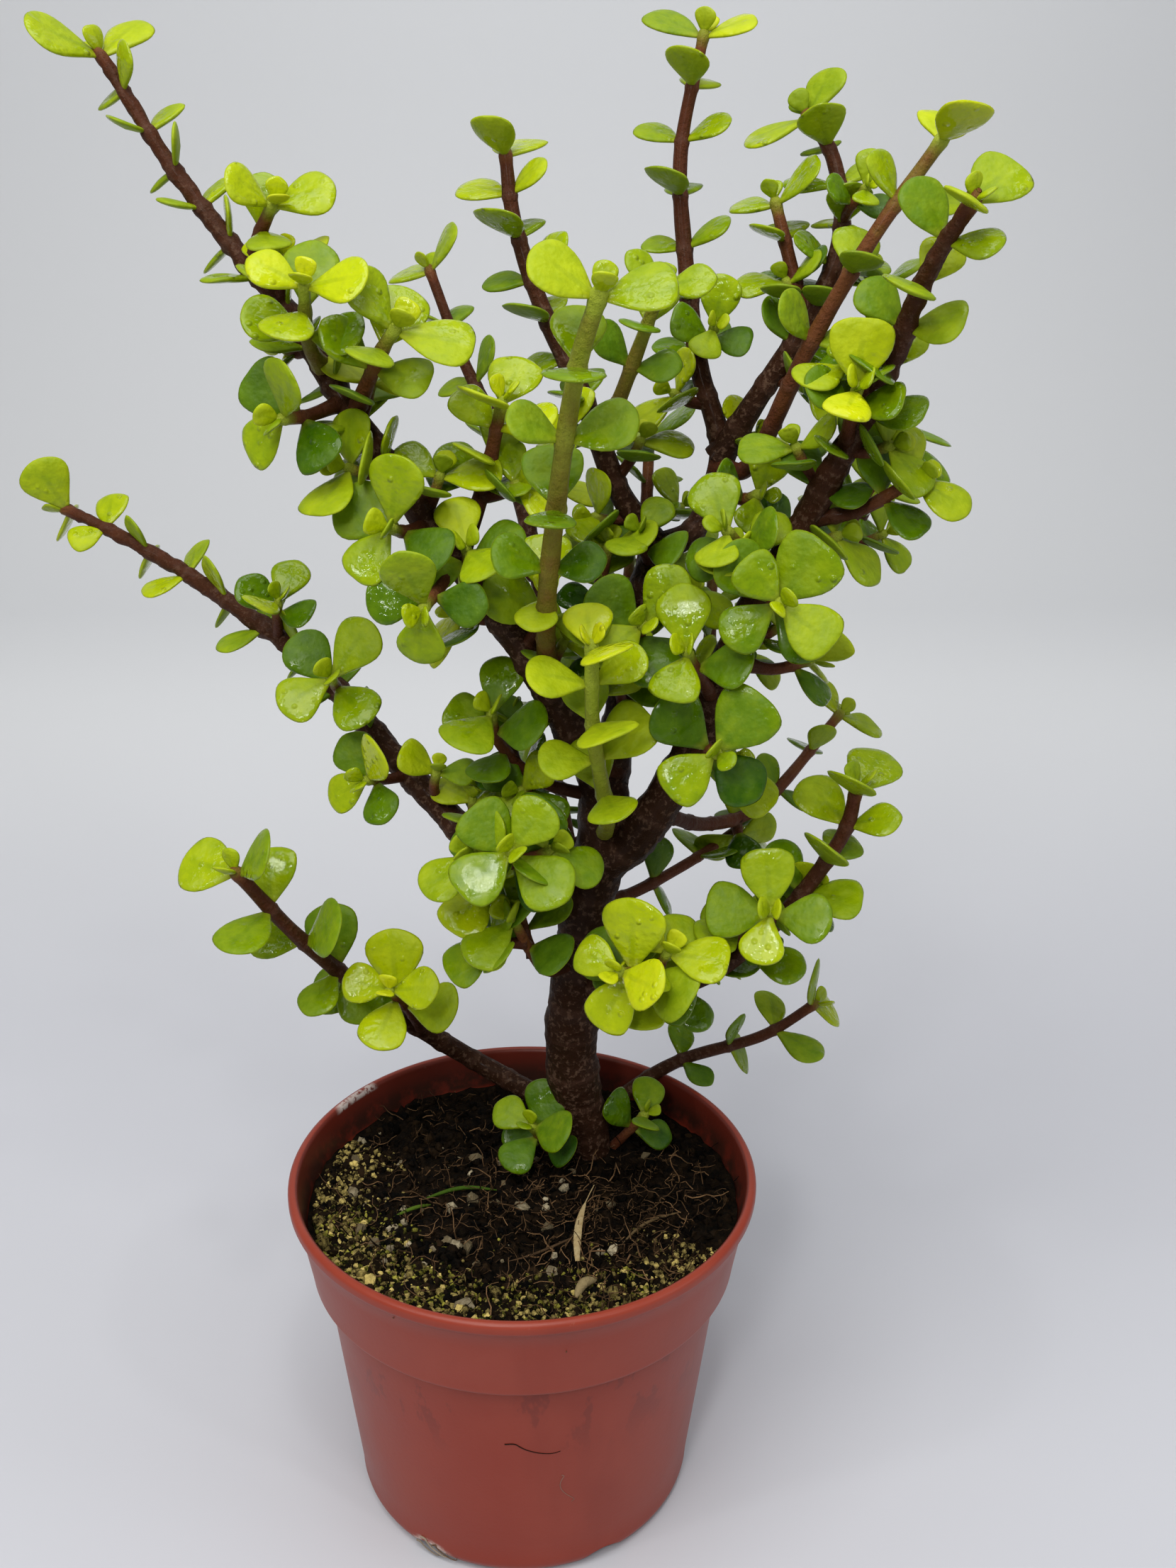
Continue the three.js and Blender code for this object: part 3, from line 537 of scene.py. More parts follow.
def modelSoil():
    bottom = soilLow.z
    foot = potShape["foot"] - potShape["wall"] - 6 * mm
    collarFoot = potShape["height"] - potShape["collar"]
    bodyTop = potShape["collarFoot"] - potShape["collarStep"] - potShape["wall"] - 0.3 * mm
    profile = [(foot, bottom), (foot + 5 * mm, bottom + 7 * mm), (bodyTop, collarFoot)]
    profile += [(soilRadius, soilLevel - 1.5 * mm), (soilRadius - 0.2 * mm, soilLevel)]
    rings = 46
    top = [((soilRadius - 0.4 * mm) * (1 - ring / rings) + 0.4 * mm, soilLevel) for ring in range(rings)]
    soil = turnOnAxis("soil_bed", profile + top, 160)
    finishMesh(soil, 60)
    selectOnly(soil)
    group = soil.vertex_groups.new(name="topFace")
    places = placesOf(soil)
    for index, place in enumerate(places):
        if place[2] > soilLevel - 0.4 * mm:
            soil.data.vertices[index].co.z = surfaceHeight(place[0], place[1])
            group.add([index], 1.0, "REPLACE")
    for size, strength in ((5 * mm, soilLook["relief"]), (1.4 * mm, soilLook["grain"])):
        texture = bpy.data.textures.new("peatClods", "CLOUDS")
        texture.noise_scale = size
        texture.noise_depth = 2
        applyModifier(soil, "DISPLACE", texture=texture, strength=strength, mid_level=0.5,
                      vertex_group="topFace", direction="Z")
    return soil


def earthyFinish(name, dark, light, gloss, scale=420):
    paint = Paint(name, Specular_IOR_Level=0.07)
    place = paint.objectPlace()
    grain = paint.noise(scale, 5, 0.7, place)
    fine = paint.noise(scale * 3.1, 3, 0.6, place)
    between = tuple((a + b) * 0.4 for a, b in zip(dark, light))
    tone = grain + paint.attribute("crumb") * 0.4
    base = paint.ramp(tone, (0.38, dark), (0.62, between), (0.88, light))
    paint.relief((grain, 0.5 * mm), (fine, 0.2 * mm))
    return paint.coat(Base_Color=base, Roughness=paint.between(fine, 0.3, 0.7, gloss, 0.95))


def shadeCopy(twin):
    # each crumb or fibre has its own tone
    tone = chance.gauss(0, 0.45)
    writeAttribute(twin, "crumb", [tone] * len(twin.data.vertices))
    return twin


peatFinish = earthyFinish("dampPeat", (0.0008, 0.0005, 0.0002), (0.022, 0.012, 0.005), 0.7)
hand(modelSoil(), "soil", peatFinish, "soil")


def onSoil(reach, centre=(0, 0), spread=None):
    # a point on the soil's top, inside the pot and clear of the trunk
    while True:
        if spread:
            x, y = centre[0] + chance.gauss(0, spread), centre[1] + chance.gauss(0, spread)
        else:
            x, y = chance.uniform(-1, 1) * soilRadius, chance.uniform(-1, 1) * soilRadius
        clearOfTrunk = math.hypot(x - rootAt.x, y - rootAt.y) > 8.5 * mm
        if math.hypot(x, y) < soilRadius - reach and clearOfTrunk:
            return Vector((x, y, surfaceHeight(x, y)))


def modelPebble(name, roughness):
    bpy.ops.object.select_all(action="DESELECT")
    bpy.ops.mesh.primitive_ico_sphere_add(subdivisions=1, radius=1)
    pebble = bpy.context.object
    pebble.name = name
    bpy.ops.object.mode_set(mode="EDIT")
    bpy.ops.mesh.select_all(action="SELECT")
    bpy.ops.transform.vertex_random(offset=roughness, seed=len(name))
    bpy.ops.object.mode_set(mode="OBJECT")
    return pebble


def strew(name, models, count, sizes, sink, reach, centre=(0, 0), spread=None, flat=0.75):
    copies = []
    for number in range(count):
        size = sizes[0] + (sizes[1] - sizes[0]) * chance.random() ** 2.2
        spot = onSoil(reach + size, centre, spread)
        turn = Euler([chance.uniform(0, 6.28) for axis in range(3)]).to_matrix().to_4x4()
        shape = Matrix.Diagonal((size, size * chance.uniform(0.7, 1), size * flat, 1))
        lift = Matrix.Translation(spot + Vector((0, 0, size * sink)))
        copies.append(shadeCopy(copyOf(models[number % len(models)], lift @ turn @ shape)))
    return joinPieces(copies, name)


pebbles = [modelPebble("pebble" + "x" * number, 0.3 + 0.06 * number) for number in range(5)]
crumbs = strew("peat_crumbs", pebbles, soilLook["crumbs"], (0.4 * mm, 1.9 * mm), 0.1, 0.6 * mm)
hand(crumbs, "soil", peatFinish)

gritFinish = earthyFinish("paleGrit", (0.13, 0.10, 0.055), (0.52, 0.44, 0.29), 0.7, 600)
grit = strew("pale_grit", pebbles, soilLook["grit"], (0.3 * mm, 2.3 * mm), 0.2, 1 * mm,
             (-20 * mm, -8 * mm), 22 * mm)
hand(grit, "soil", gritFinish)

# a crumbly crust, part moss and part dry peat, lies along the wall from the left round to the front
def addCrust(name, count, sizes, fromBearing, toBearing, width, finish):
    copies = []
    for number in range(count):
        bearing = math.radians(chance.uniform(fromBearing, toBearing))
        out = soilRadius - 1.5 * mm - abs(chance.gauss(0, width))
        spot = Vector((out * math.cos(bearing), out * math.sin(bearing), 0))
        size = sizes[0] + (sizes[1] - sizes[0]) * chance.random() ** 2
        spot.z = surfaceHeight(spot.x, spot.y) + size * 0.7
        turn = Euler([chance.uniform(0, 6.28) for axis in range(3)]).to_matrix().to_4x4()
        shape = Matrix.Diagonal((size, size * chance.uniform(0.7, 1), size * 0.8, 1))
        place = Matrix.Translation(spot) @ turn @ shape
        copies.append(shadeCopy(copyOf(pebbles[number % len(pebbles)], place)))
    return hand(joinPieces(copies, name), "soil", finish)


mossFinish = earthyFinish("mossCrust", (0.004, 0.005, 0.0007), (0.36, 0.33, 0.05), 0.8, 900)
dryFinish = earthyFinish("dryCrust", (0.009, 0.005, 0.002), (0.66, 0.51, 0.16), 0.85, 700)
addCrust("moss_crust", soilLook["crust"], (0.25 * mm, 0.85 * mm), 185, 310, 9 * mm, mossFinish)
addCrust("dry_crust", soilLook["crust"], (0.25 * mm, 1.0 * mm), 150, 335, 8 * mm, dryFinish)
addCrust("crust_clods", soilLook["clods"], (0.8 * mm, 2.1 * mm), 190, 300, 7 * mm, dryFinish)
discard(pebbles)


def thread(name, points, radii, resolution=1):
    # a tube along points, with its own radius at each
    line = bpy.data.curves.new(name, "CURVE")
    line.dimensions = "3D"
    line.bevel_depth = 1
    line.bevel_resolution = resolution
    line.use_fill_caps = True
    spline = line.splines.new("POLY")
    spline.points.add(len(points) - 1)
    for knot, point, radius in zip(spline.points, points, radii):
        knot.co = (*point, 1)
        knot.radius = radius
    tube = bpy.data.objects.new(name, line)
    bpy.context.collection.objects.link(tube)
    selectOnly(tube)
    bpy.ops.object.convert(target="MESH")
    return bpy.context.object


def curlyFibre(length, radius, wander):
    heading = Vector((chance.gauss(0, 1), chance.gauss(0, 1), chance.gauss(0, 0.25))).normalized()
    point = Vector((0, 0, 0))
    points = [point.copy()]
    steps = 6
    for step in range(steps):
        heading = (heading + Vector([chance.gauss(0, wander) for axis in range(3)])).normalized()
        point = point + heading * length / steps
        points.append(point.copy())
    radii = [radius * (1 - 0.5 * step / steps) for step in range(steps + 1)]
    return thread("fibre", points, radii, resolution=0)


fibreModels = [curlyFibre(1, 0.019, 0.5) for number in range(14)]


def strewFibres(name, models, count, lengths, reach, lift, centre=(0, 0), spread=None):
    copies = []
    for number in range(count):
        length = chance.uniform(*lengths)
        spot = onSoil(reach + length * 0.5, centre, spread)
        turn = Matrix.Rotation(chance.uniform(0, 6.28), 4, "Z")
        turn = turn @ Matrix.Rotation(chance.gauss(0, 0.18), 4, "X")
        move = Matrix.Translation(spot + Vector((0, 0, lift * chance.random())))
        copies.append(shadeCopy(copyOf(models[number % len(models)], move @ turn @ Matrix.Scale(length, 4))))
    return joinPieces(copies, name)


fibreFinish = earthyFinish("tanFibre", (0.004, 0.002, 0.0009), (0.21, 0.118, 0.055), 0.7, 260)
fibres = strewFibres("peat_fibres", fibreModels, soilLook["fibres"], (3 * mm, 11 * mm), 0, 2.4 * mm)
hand(fibres, "soil", fibreFinish)
tangle = strewFibres("peat_tangle", fibreModels, soilLook["fibres"] // 2, (4 * mm, 13 * mm), 0, 2.8 * mm,
                     (18 * mm, -14 * mm), 17 * mm)
hand(tangle, "soil", fibreFinish)
discard(fibreModels)


# green blades, a dry curl and stalks that lie on the soil: two ends, width and sideways bow, in millimetres
litter = {
    "grass_blade": {
        "ends": ((-26, -1), (-7, 2)), "width": 0.55, "bow": 1.2, "colour": (0.075, 0.15, 0.012)},
    "short_blade": {
        "ends": ((-33, -9), (-24, -4)), "width": 0.5, "bow": -0.8, "colour": (0.13, 0.22, 0.02)},
    "dry_curl": {
        "ends": ((12, -40), (17, -34)), "width": 1.3, "bow": 0.9, "colour": (0.46, 0.35, 0.17)},
    "bent_stalk": {
        "ends": ((24, -22), (40, -9)), "width": 0.4, "bow": 1.6, "colour": (0.20, 0.13, 0.06)},
    "brown_stalk": {
        "ends": ((-4, -26), (13, -18)), "width": 0.35, "bow": -1.4, "colour": (0.12, 0.07, 0.035)},
}


def addLitter(name, look):
    start, end = [Vector((x * mm, y * mm, 0)) for x, y in look["ends"]]
    aside = Vector((0, 0, 1)).cross(end - start).normalized()
    points, widths = [], []
    for step in range(13):
        share = step / 12
        point = start.lerp(end, share) + aside * look["bow"] * mm * math.sin(share * math.pi)
        point.z = surfaceHeight(point.x, point.y) + (1 + 1.1 * math.sin(share * math.pi)) * mm
        points.append(point)
        widths.append(look["width"] * mm * (0.25 + 0.75 * math.sin(share * math.pi) ** 0.6))
    piece = thread(name, points, widths, resolution=2)
    finishMesh(piece, 50)
    shade = look["colour"]
    hand(piece, "straw", earthyFinish(name + "Skin", tuple(part * 0.5 for part in shade), shade, 0.5, 500))


for name, look in litter.items():
    addLitter(name, look)
print("soil is laid")


# loose roots that cling to the pot's outside: bearing and height at each end, and how much they curl
clinging = {
    "dark_root": {
        "from": (-97, 48), "to": (-80, 44), "curl": 0.9, "width": 0.2, "colour": (0.03, 0.012, 0.008)},
    "pale_root": {
        "from": (-81, 36), "to": (-76, 25), "curl": 1.1, "width": 0.16, "colour": (0.40, 0.20, 0.15)},
    "notch_root_a": {
        "from": (-128, 5), "to": (-117, 1.5), "curl": 0.7, "width": 0.3, "colour": (0.5, 0.4, 0.3)},
    "notch_root_b": {
        "from": (-124, 4), "to": (-113, 2.2), "curl": 1.0, "width": 0.22, "colour": (0.2, 0.12, 0.07)},
    "notch_root_c": {
        "from": (-130, 2.6), "to": (-120, 1), "curl": 0.5, "width": 0.25, "colour": (0.4, 0.32, 0.24)},
}


def addClinging(name, look):
    collarFoot = potShape["height"] - potShape["collar"]
    bodyTop = potShape["collarFoot"] - potShape["collarStep"]
    points = []
    steps = 22
    for step in range(steps + 1):
        share = step / steps
        bearing = math.radians(look["from"][0] + (look["to"][0] - look["from"][0]) * share)
        height = (look["from"][1] + (look["to"][1] - look["from"][1]) * share) * mm
        height += look["curl"] * mm * math.sin(share * 7)
        bearing += look["curl"] * 0.02 * math.sin(share * 9 + 1)
        wallShare = (height - potShape["footRounding"]) / (collarFoot - potShape["footRounding"])
        out = potShape["foot"] + (bodyTop - potShape["foot"]) * wallShare + look["width"] * 0.7 * mm
        points.append(Vector((out * math.cos(bearing), out * math.sin(bearing), height)))
    widths = [look["width"] * mm * (1 - 0.5 * step / steps) for step in range(steps + 1)]
    root = thread(name, points, widths)
    shade = look["colour"]
    hand(root, "soil", earthyFinish(name + "Skin", tuple(part * 0.6 for part in shade), shade, 0.5))


for name, look in clinging.items():
    addClinging(name, look)


trunkLine = {
    "radius": [7.4, 6.2],
    "path": [[0, 0, -14], [0, 0, 2], [-4, -2, 33], [-2, -5, 64], [3, -8, 97], [3, -8, 115]],
}

# each stem leaves its parent at a share of the parent's length, and its path lists offsets from there, in
# millimetres; leaves as in the frame: first pair's share, pairs, lengths, first bearing and opening;
# sprigs: share, bearing, reach and leaf length of each short side twig
shoots = [
    {"name": "left_high_limb", "parent": "trunk", "at": 0.98, "radius": [4.6, 1.4],
      "path": [[-9, -4, 16], [-22, -8, 39], [-45, -6, 70], [-58, 0, 88], [-70, 10, 106], [-83, 18, 120],
        [-96, 25, 136], [-112, 33, 160]],
      "leaves": {"first": 0.45, "pairs": 12, "size": [14, 10.5, 16.5], "turn": 45, "open": 62},
      "sprigs": [[0.16, 200, 9, 15], [0.24, 20, 9, 15], [0.3, 250, 10, 15], [0.38, 190, 8, 14],
        [0.44, 330, 9, 15], [0.5, 200, 8, 14], [0.6, 30, 8, 13], [0.66, 220, 8, 13]]},
    {"name": "left_middle_limb", "parent": "trunk", "at": 0.7, "radius": [4.2, 1.5],
      "path": [[-19, -5, 12], [-39, 7, 28], [-55, 19, 43], [-68, 29, 55], [-81, 39, 62], [-109, 57, 76],
        [-139, 71, 88]],
      "leaves": {"first": 0.4, "pairs": 9, "size": [14, 12, 17], "turn": 45, "open": 60},
      "sprigs": [[0.12, 290, 10, 15], [0.2, 200, 8, 13]]},
    {"name": "centre_limb", "parent": "trunk", "at": 0.98, "radius": [4.8, 3.4],
      "path": [[5, 6, 15], [9, 12, 40], [14, 14, 54]],
      "sprigs": [[0.3, 290, 14, 15], [0.5, 0, 12, 14], [0.72, 200, 10, 14], [0.9, 310, 10, 13]]},
    {"name": "right_main_limb", "parent": "trunk", "at": 0.81, "radius": [5.4, 1.6],
      "path": [[10, -5, 10], [22, -10, 34], [32, -12, 63], [46, -15, 92], [56, -28, 121], [59, -40, 139],
        [64, -50, 153]],
      "leaves": {"first": 0.6, "pairs": 8, "size": [13, 13, 13.5], "turn": 30, "open": 62},
      "sprigs": [[0.2, 200, 10, 15], [0.28, 30, 10, 15], [0.38, 160, 10, 14], [0.46, 330, 10, 14],
        [0.53, 190, 9, 14], [0.6, 20, 9, 13], [0.66, 200, 9, 13], [0.74, 350, 8, 13]]},
    {"name": "left_low_branch", "parent": "trunk", "at": 0.18, "radius": [3.2, 1.6],
      "path": [[-13, 12, headroom - 8], [-33, 21, headroom], [-53, 11, 31], [-71, -7, 60], [-84, -18, 84]],
      "leaves": {"first": 0.56, "pairs": 5, "size": [17.5, 16.5, 16.5], "turn": 30, "open": 66}},
    {"name": "right_low_branch", "parent": "trunk", "at": 0.53, "radius": [2.8, 1.6],
      "path": [[9, -10, 3], [30, -16, 9], [49, -18, 27], [62, -18, 47], [65, -18, 60]],
      "leaves": {"first": 0.3, "pairs": 8, "size": [15, 15, 17.5], "turn": 30, "open": 62},
      "sprigs": [[0.2, 300, 9, 15], [0.35, 90, 9, 15], [0.5, 330, 8, 14], [0.64, 120, 8, 13]]},
    {"name": "right_rim_branch", "parent": "trunk", "at": 0.07, "radius": [2.2, 1.4],
      "path": [[9, 15, headroom], [27, 22, headroom + 9], [52, 27, headroom + 14], [68, 31, headroom + 22]],
      "leaves": {"first": 0.5, "pairs": 4, "size": [13, 16.5, 15], "turn": 60, "open": 66}},
    {"name": "top_left_stem", "parent": "centre_limb", "at": 0.98, "radius": [3, 1.5],
      "path": [[-10, 1, 14], [-18, 4, 34], [-28, 9, 55], [-34, 13, 73], [-36, 16, 88]],
      "leaves": {"first": 0.3, "pairs": 8, "size": [13, 13, 15], "turn": 20, "open": 62},
      "sprigs": [[0.1, 0, 9, 14], [0.2, 180, 9, 13], [0.3, 320, 8, 12]]},
    {"name": "top_centre_stem", "parent": "centre_limb", "at": 0.98, "radius": [3, 1.3],
      "path": [[9, 0, 6], [14, 3, 23], [9, 9, 42], [6, 18, 66], [5, 24, 89], [10, 28, 114]],
      "leaves": {"first": 0.42, "pairs": 7, "size": [11.5, 13, 15], "turn": 20, "open": 66},
      "sprigs": [[0.22, 180, 8, 13], [0.32, 0, 8, 13]]},
    {"name": "right_centre_stem", "parent": "top_centre_stem", "at": 0.22, "radius": [3, 1.4],
      "path": [[7, -4, 13], [18, -7, 32], [25, -2, 49], [24, 6, 65], [18, 11, 75]],
      "leaves": {"first": 0.35, "pairs": 7, "size": [13, 13, 15], "turn": 0, "open": 66},
      "sprigs": [[0.25, 200, 8, 13], [0.42, 20, 8, 12], [0.55, 180, 7, 11]]},
    {"name": "young_centre_shoot", "parent": "right_centre_stem", "at": 0.41, "radius": [1.9, 1.3],
      "path": [[-4, 5, 15], [-7, 8, 26]],
      "leaves": {"first": 0.35, "pairs": 3, "size": [11.5, 13, 13], "turn": 30, "open": 66}},
    {"name": "red_front_shoot", "parent": "top_centre_stem", "at": 0.2, "radius": [2.2, 1.4],
      "path": [[6, -12, 3], [14, -28, 29], [25, -32, 51], [39, -30, 71]],
      "leaves": {"first": 0.5, "pairs": 4, "size": [13, 13, 13], "turn": 0, "open": 56}},
    {"name": "right_back_limb", "parent": "right_main_limb", "at": 0.41, "radius": [2.8, 1.5],
      "path": [[14, 18, 5], [33, 44, 12], [51, 78, 35]],
      "leaves": {"first": 0.35, "pairs": 6, "size": [13, 14, 16.5], "turn": 45, "open": 60},
      "sprigs": [[0.3, 180, 9, 13], [0.5, 0, 9, 13], [0.66, 200, 8, 12]]},
    {"name": "right_twig", "parent": "right_main_limb", "at": 0.56, "radius": [1.8, 1.2],
      "path": [[11, -4, 3], [22, -9, 11]],
      "leaves": {"first": 0.65, "pairs": 3, "size": [14, 14, 13], "turn": 20, "open": 66}},
    {"name": "yellow_twig", "parent": "right_main_limb", "at": 0.66, "radius": [1.7, 1.2],
      "path": [[-1, -8, 7], [-2, -17, 15]],
      "leaves": {"first": 0.7, "pairs": 2, "size": [13, 14, 14], "turn": 20, "open": 56}},
    {"name": "front_tall_shoot", "parent": "left_high_limb", "at": 0.14, "radius": [2.3, 1.7],
      "path": [[-1, -19, 23], [1, -33, 51], [4, -43, 75], [8, -49, 90]],
      "leaves": {"first": 0.4, "pairs": 5, "size": [14, 15, 15], "turn": 0, "open": 66}},
    {"name": "front_bright_shoot", "parent": "trunk", "at": 0.86, "radius": [2, 1.5],
      "path": [[0, -16, 12], [-4, -26, 36], [-5, -33, 58]],
      "leaves": {"first": 0.4, "pairs": 5, "size": [16.5, 14, 14], "turn": 80, "open": 68}},
    {"name": "green_side_shoot", "parent": "top_left_stem", "at": 0.29, "radius": [2, 1.3],
      "path": [[4, -13, 14], [11, -25, 37]],
      "leaves": {"first": 0.55, "pairs": 3, "size": [13, 13, 11.5], "turn": 10, "open": 60}},
    {"name": "back_left_stem", "parent": "left_high_limb", "at": 0.15, "radius": [2.8, 1.3],
      "path": [[1, 26, 10], [-8, 61, 43], [-19, 72, 65], [-28, 80, 88]],
      "leaves": {"first": 0.5, "pairs": 5, "size": [13, 13, 14], "turn": 30, "open": 60},
      "sprigs": [[0.3, 0, 9, 13], [0.45, 180, 9, 13]]},
    {"name": "left_upper_twig", "parent": "left_high_limb", "at": 0.32, "radius": [2.2, 1.3],
      "path": [[6, 4, 17], [10, 0, 35]],
      "leaves": {"first": 0.45, "pairs": 4, "size": [14, 14, 15], "turn": 20, "open": 62},
      "sprigs": [[0.4, 200, 8, 13]]},
    {"name": "left_knot_twig", "parent": "left_high_limb", "at": 0.51, "radius": [1.9, 1.3],
      "path": [[7, -11, 14], [11, -14, 20]],
      "leaves": {"first": 0.55, "pairs": 3, "size": [15, 15, 16.5], "turn": 0, "open": 66}},
    {"name": "left_cap_shoot", "parent": "left_high_limb", "at": 0.71, "radius": [1.9, 1.2],
      "path": [[2, -6, 6], [7, -13, 14]],
      "leaves": {"first": 0.6, "pairs": 2, "size": [13, 14, 14], "turn": 60, "open": 60}},
    {"name": "left_cup_shoot", "parent": "left_high_limb", "at": 0.57, "radius": [1.9, 1.2],
      "path": [[-2, -10, 7], [-1, -20, 19]],
      "leaves": {"first": 0.5, "pairs": 3, "size": [15, 15, 14], "turn": 10, "open": 70}},
    {"name": "left_rosette_twig", "parent": "left_middle_limb", "at": 0.6, "radius": [1.5, 1.1],
      "path": [[1, -7, 7], [2, -9, 12]],
      "leaves": {"first": 0.75, "pairs": 2, "size": [13, 13, 13], "turn": 20, "open": 62}},
    {"name": "four_leaf_twig", "parent": "left_middle_limb", "at": 0.45, "radius": [1.6, 1.2],
      "path": [[-1, -12, 7], [-2, -20, 13]],
      "leaves": {"first": 0.8, "pairs": 2, "size": [16.5, 16.5, 16.5], "turn": 45, "open": 76}},
    {"name": "left_front_twig", "parent": "left_high_limb", "at": 0.32, "radius": [1.6, 1.2],
      "path": [[-4, -14, -3], [-7, -24, -5]],
      "leaves": {"first": 0.75, "pairs": 2, "size": [15, 15, 15], "turn": 0, "open": 76}},
    {"name": "left_hanging_twig", "parent": "left_middle_limb", "at": 0.32, "radius": [1.5, 1.1],
      "path": [[-5, -6, 1], [-10, -12, 3]],
      "leaves": {"first": 0.75, "pairs": 2, "size": [14, 14, 14], "turn": 45, "open": 70}},
    {"name": "left_spur", "parent": "left_middle_limb", "at": 0.26, "radius": [1.5, 1.1],
      "path": [[-1, -5, 7], [0, -7, 12]],
      "leaves": {"first": 0.9, "pairs": 1, "size": [11.5, 11.5, 11.5], "turn": 0, "open": 64}},
    {"name": "left_inner_twig", "parent": "trunk", "at": 0.94, "radius": [1.7, 1.2],
      "path": [[-15, -2, 5], [-25, -6, 16], [-27, -12, 26]],
      "leaves": {"first": 0.5, "pairs": 4, "size": [14, 15, 15], "turn": 30, "open": 66},
      "sprigs": [[0.4, 300, 8, 14], [0.6, 120, 8, 14]]},
    {"name": "left_fan_shoot", "parent": "left_middle_limb", "at": 0.14, "radius": [1.9, 1.2],
      "path": [[2, -13, 7], [2, -29, 17]],
      "leaves": {"first": 0.45, "pairs": 4, "size": [16.5, 16.5, 15], "turn": 45, "open": 76},
      "sprigs": [[0.5, 0, 9, 15], [0.62, 180, 9, 14]]},
    {"name": "left_lower_twig", "parent": "trunk", "at": 0.58, "radius": [1.5, 1.2],
      "path": [[-9, -12, 4], [-17, -22, 23]],
      "leaves": {"first": 0.7, "pairs": 2, "size": [16.5, 17.5, 17.5], "turn": 45, "open": 76},
      "sprigs": [[0.6, 90, 10, 16], [0.75, 0, 8, 14]]},
    {"name": "left_bright_shoot", "parent": "left_low_branch", "at": 0.4, "radius": [1.7, 1.2],
      "path": [[-2, -10, 11], [-6, -28, 28]],
      "leaves": {"first": 0.6, "pairs": 3, "size": [18.5, 16.5, 14], "turn": 20, "open": 70}},
    {"name": "front_low_shoot", "parent": "right_low_branch", "at": 0.34, "radius": [1.8, 1.2],
      "path": [[-9, -11, 8], [-20, -24, 16]],
      "leaves": {"first": 0.65, "pairs": 3, "size": [18.5, 17.5, 14], "turn": 70, "open": 76},
      "sprigs": [[0.4, 60, 8, 15], [0.6, 200, 8, 15]]},
    {"name": "right_low_rosette", "parent": "right_low_branch", "at": 0.6, "radius": [1.6, 1.2],
      "path": [[-2, -8, 5], [-4, -16, 11]],
      "leaves": {"first": 0.75, "pairs": 2, "size": [16.5, 15, 15], "turn": 0, "open": 78}},
    {"name": "right_mid_twig", "parent": "trunk", "at": 0.73, "radius": [1.8, 1.2],
      "path": [[9, 8, -4], [28, 23, -1], [43, 35, 4]],
      "leaves": {"first": 0.4, "pairs": 3, "size": [13, 14, 16.5], "turn": 0, "open": 62}},
    {"name": "right_red_shoot", "parent": "right_main_limb", "at": 0.12, "radius": [2, 1.4],
      "path": [[16, 21, -12], [34, 41, -14], [59, 66, 3]],
      "leaves": {"first": 0.65, "pairs": 3, "size": [11.5, 14, 14], "turn": 20, "open": 62},
      "sprigs": [[0.45, 180, 8, 13]]},
    {"name": "right_rosette_a", "parent": "right_main_limb", "at": 0.44, "radius": [1.7, 1.2],
      "path": [[1, -12, 3], [1, -24, 6]],
      "leaves": {"first": 0.6, "pairs": 3, "size": [17.5, 15, 14], "turn": 45, "open": 80}},
    {"name": "right_rosette_b", "parent": "right_main_limb", "at": 0.36, "radius": [1.7, 1.2],
      "path": [[10, 2, -3], [20, 6, -2]],
      "leaves": {"first": 0.75, "pairs": 2, "size": [14, 15, 15], "turn": 30, "open": 62}},
    {"name": "right_rosette_c", "parent": "right_main_limb", "at": 0.23, "radius": [1.7, 1.2],
      "path": [[1, -12, 4], [2, -24, 7]],
      "leaves": {"first": 0.7, "pairs": 2, "size": [17.5, 16.5, 16.5], "turn": 45, "open": 80}},
    {"name": "centre_inner_twig", "parent": "centre_limb", "at": 0.5, "radius": [2, 1.2],
      "path": [[-8, -2, 13], [-6, -2, 29]],
      "leaves": {"first": 0.5, "pairs": 3, "size": [11.5, 13, 13], "turn": 30, "open": 62}},
    {"name": "front_mid_rosette", "parent": "centre_limb", "at": 0.5, "radius": [1.7, 1.2],
      "path": [[0, -18, 10], [0, -30, 17]],
      "leaves": {"first": 0.75, "pairs": 2, "size": [16.5, 15, 15], "turn": 45, "open": 72}},
    {"name": "right_inner_shoot", "parent": "right_main_limb", "at": 0.3, "radius": [1.7, 1.2],
      "path": [[-6, -12, 11], [-9, -18, 17]],
      "leaves": {"first": 0.7, "pairs": 2, "size": [16.5, 15, 15], "turn": 30, "open": 72}},
    {"name": "small_top_twig", "parent": "right_centre_stem", "at": 0.69, "radius": [1.2, 1],
      "path": [[0, -8, 3], [2, -14, 7]],
      "leaves": {"first": 0.6, "pairs": 2, "size": [9.5, 9.5, 8], "turn": 20, "open": 60}},
    {"name": "back_right_twig", "parent": "right_main_limb", "at": 0.76, "radius": [1.7, 1.2],
      "path": [[4, 28, 3], [9, 44, 17]],
      "leaves": {"first": 0.45, "pairs": 3, "size": [11.5, 11.5, 13], "turn": 20, "open": 60}},
    {"name": "centre_cup_shoot", "parent": "top_centre_stem", "at": 0.42, "radius": [1.3, 1.1],
      "path": [[1, -8, 2], [2, -16, 7]],
      "leaves": {"first": 0.7, "pairs": 2, "size": [11.5, 11.5, 11.5], "turn": 20, "open": 66}},
    {"name": "basal_left_shoot", "parent": "trunk", "at": 0.09, "radius": [1.6, 1.2],
      "path": [[-9, -4, 5], [-15, -11, 18]],
      "leaves": {"first": 0.6, "pairs": 3, "size": [13, 16.5, 14], "turn": 45, "open": 72}},
    {"name": "basal_right_shoot", "parent": "trunk", "at": 0.06, "radius": [1.5, 1.2],
      "path": [[9, -1, 10], [16, -2, 19]],
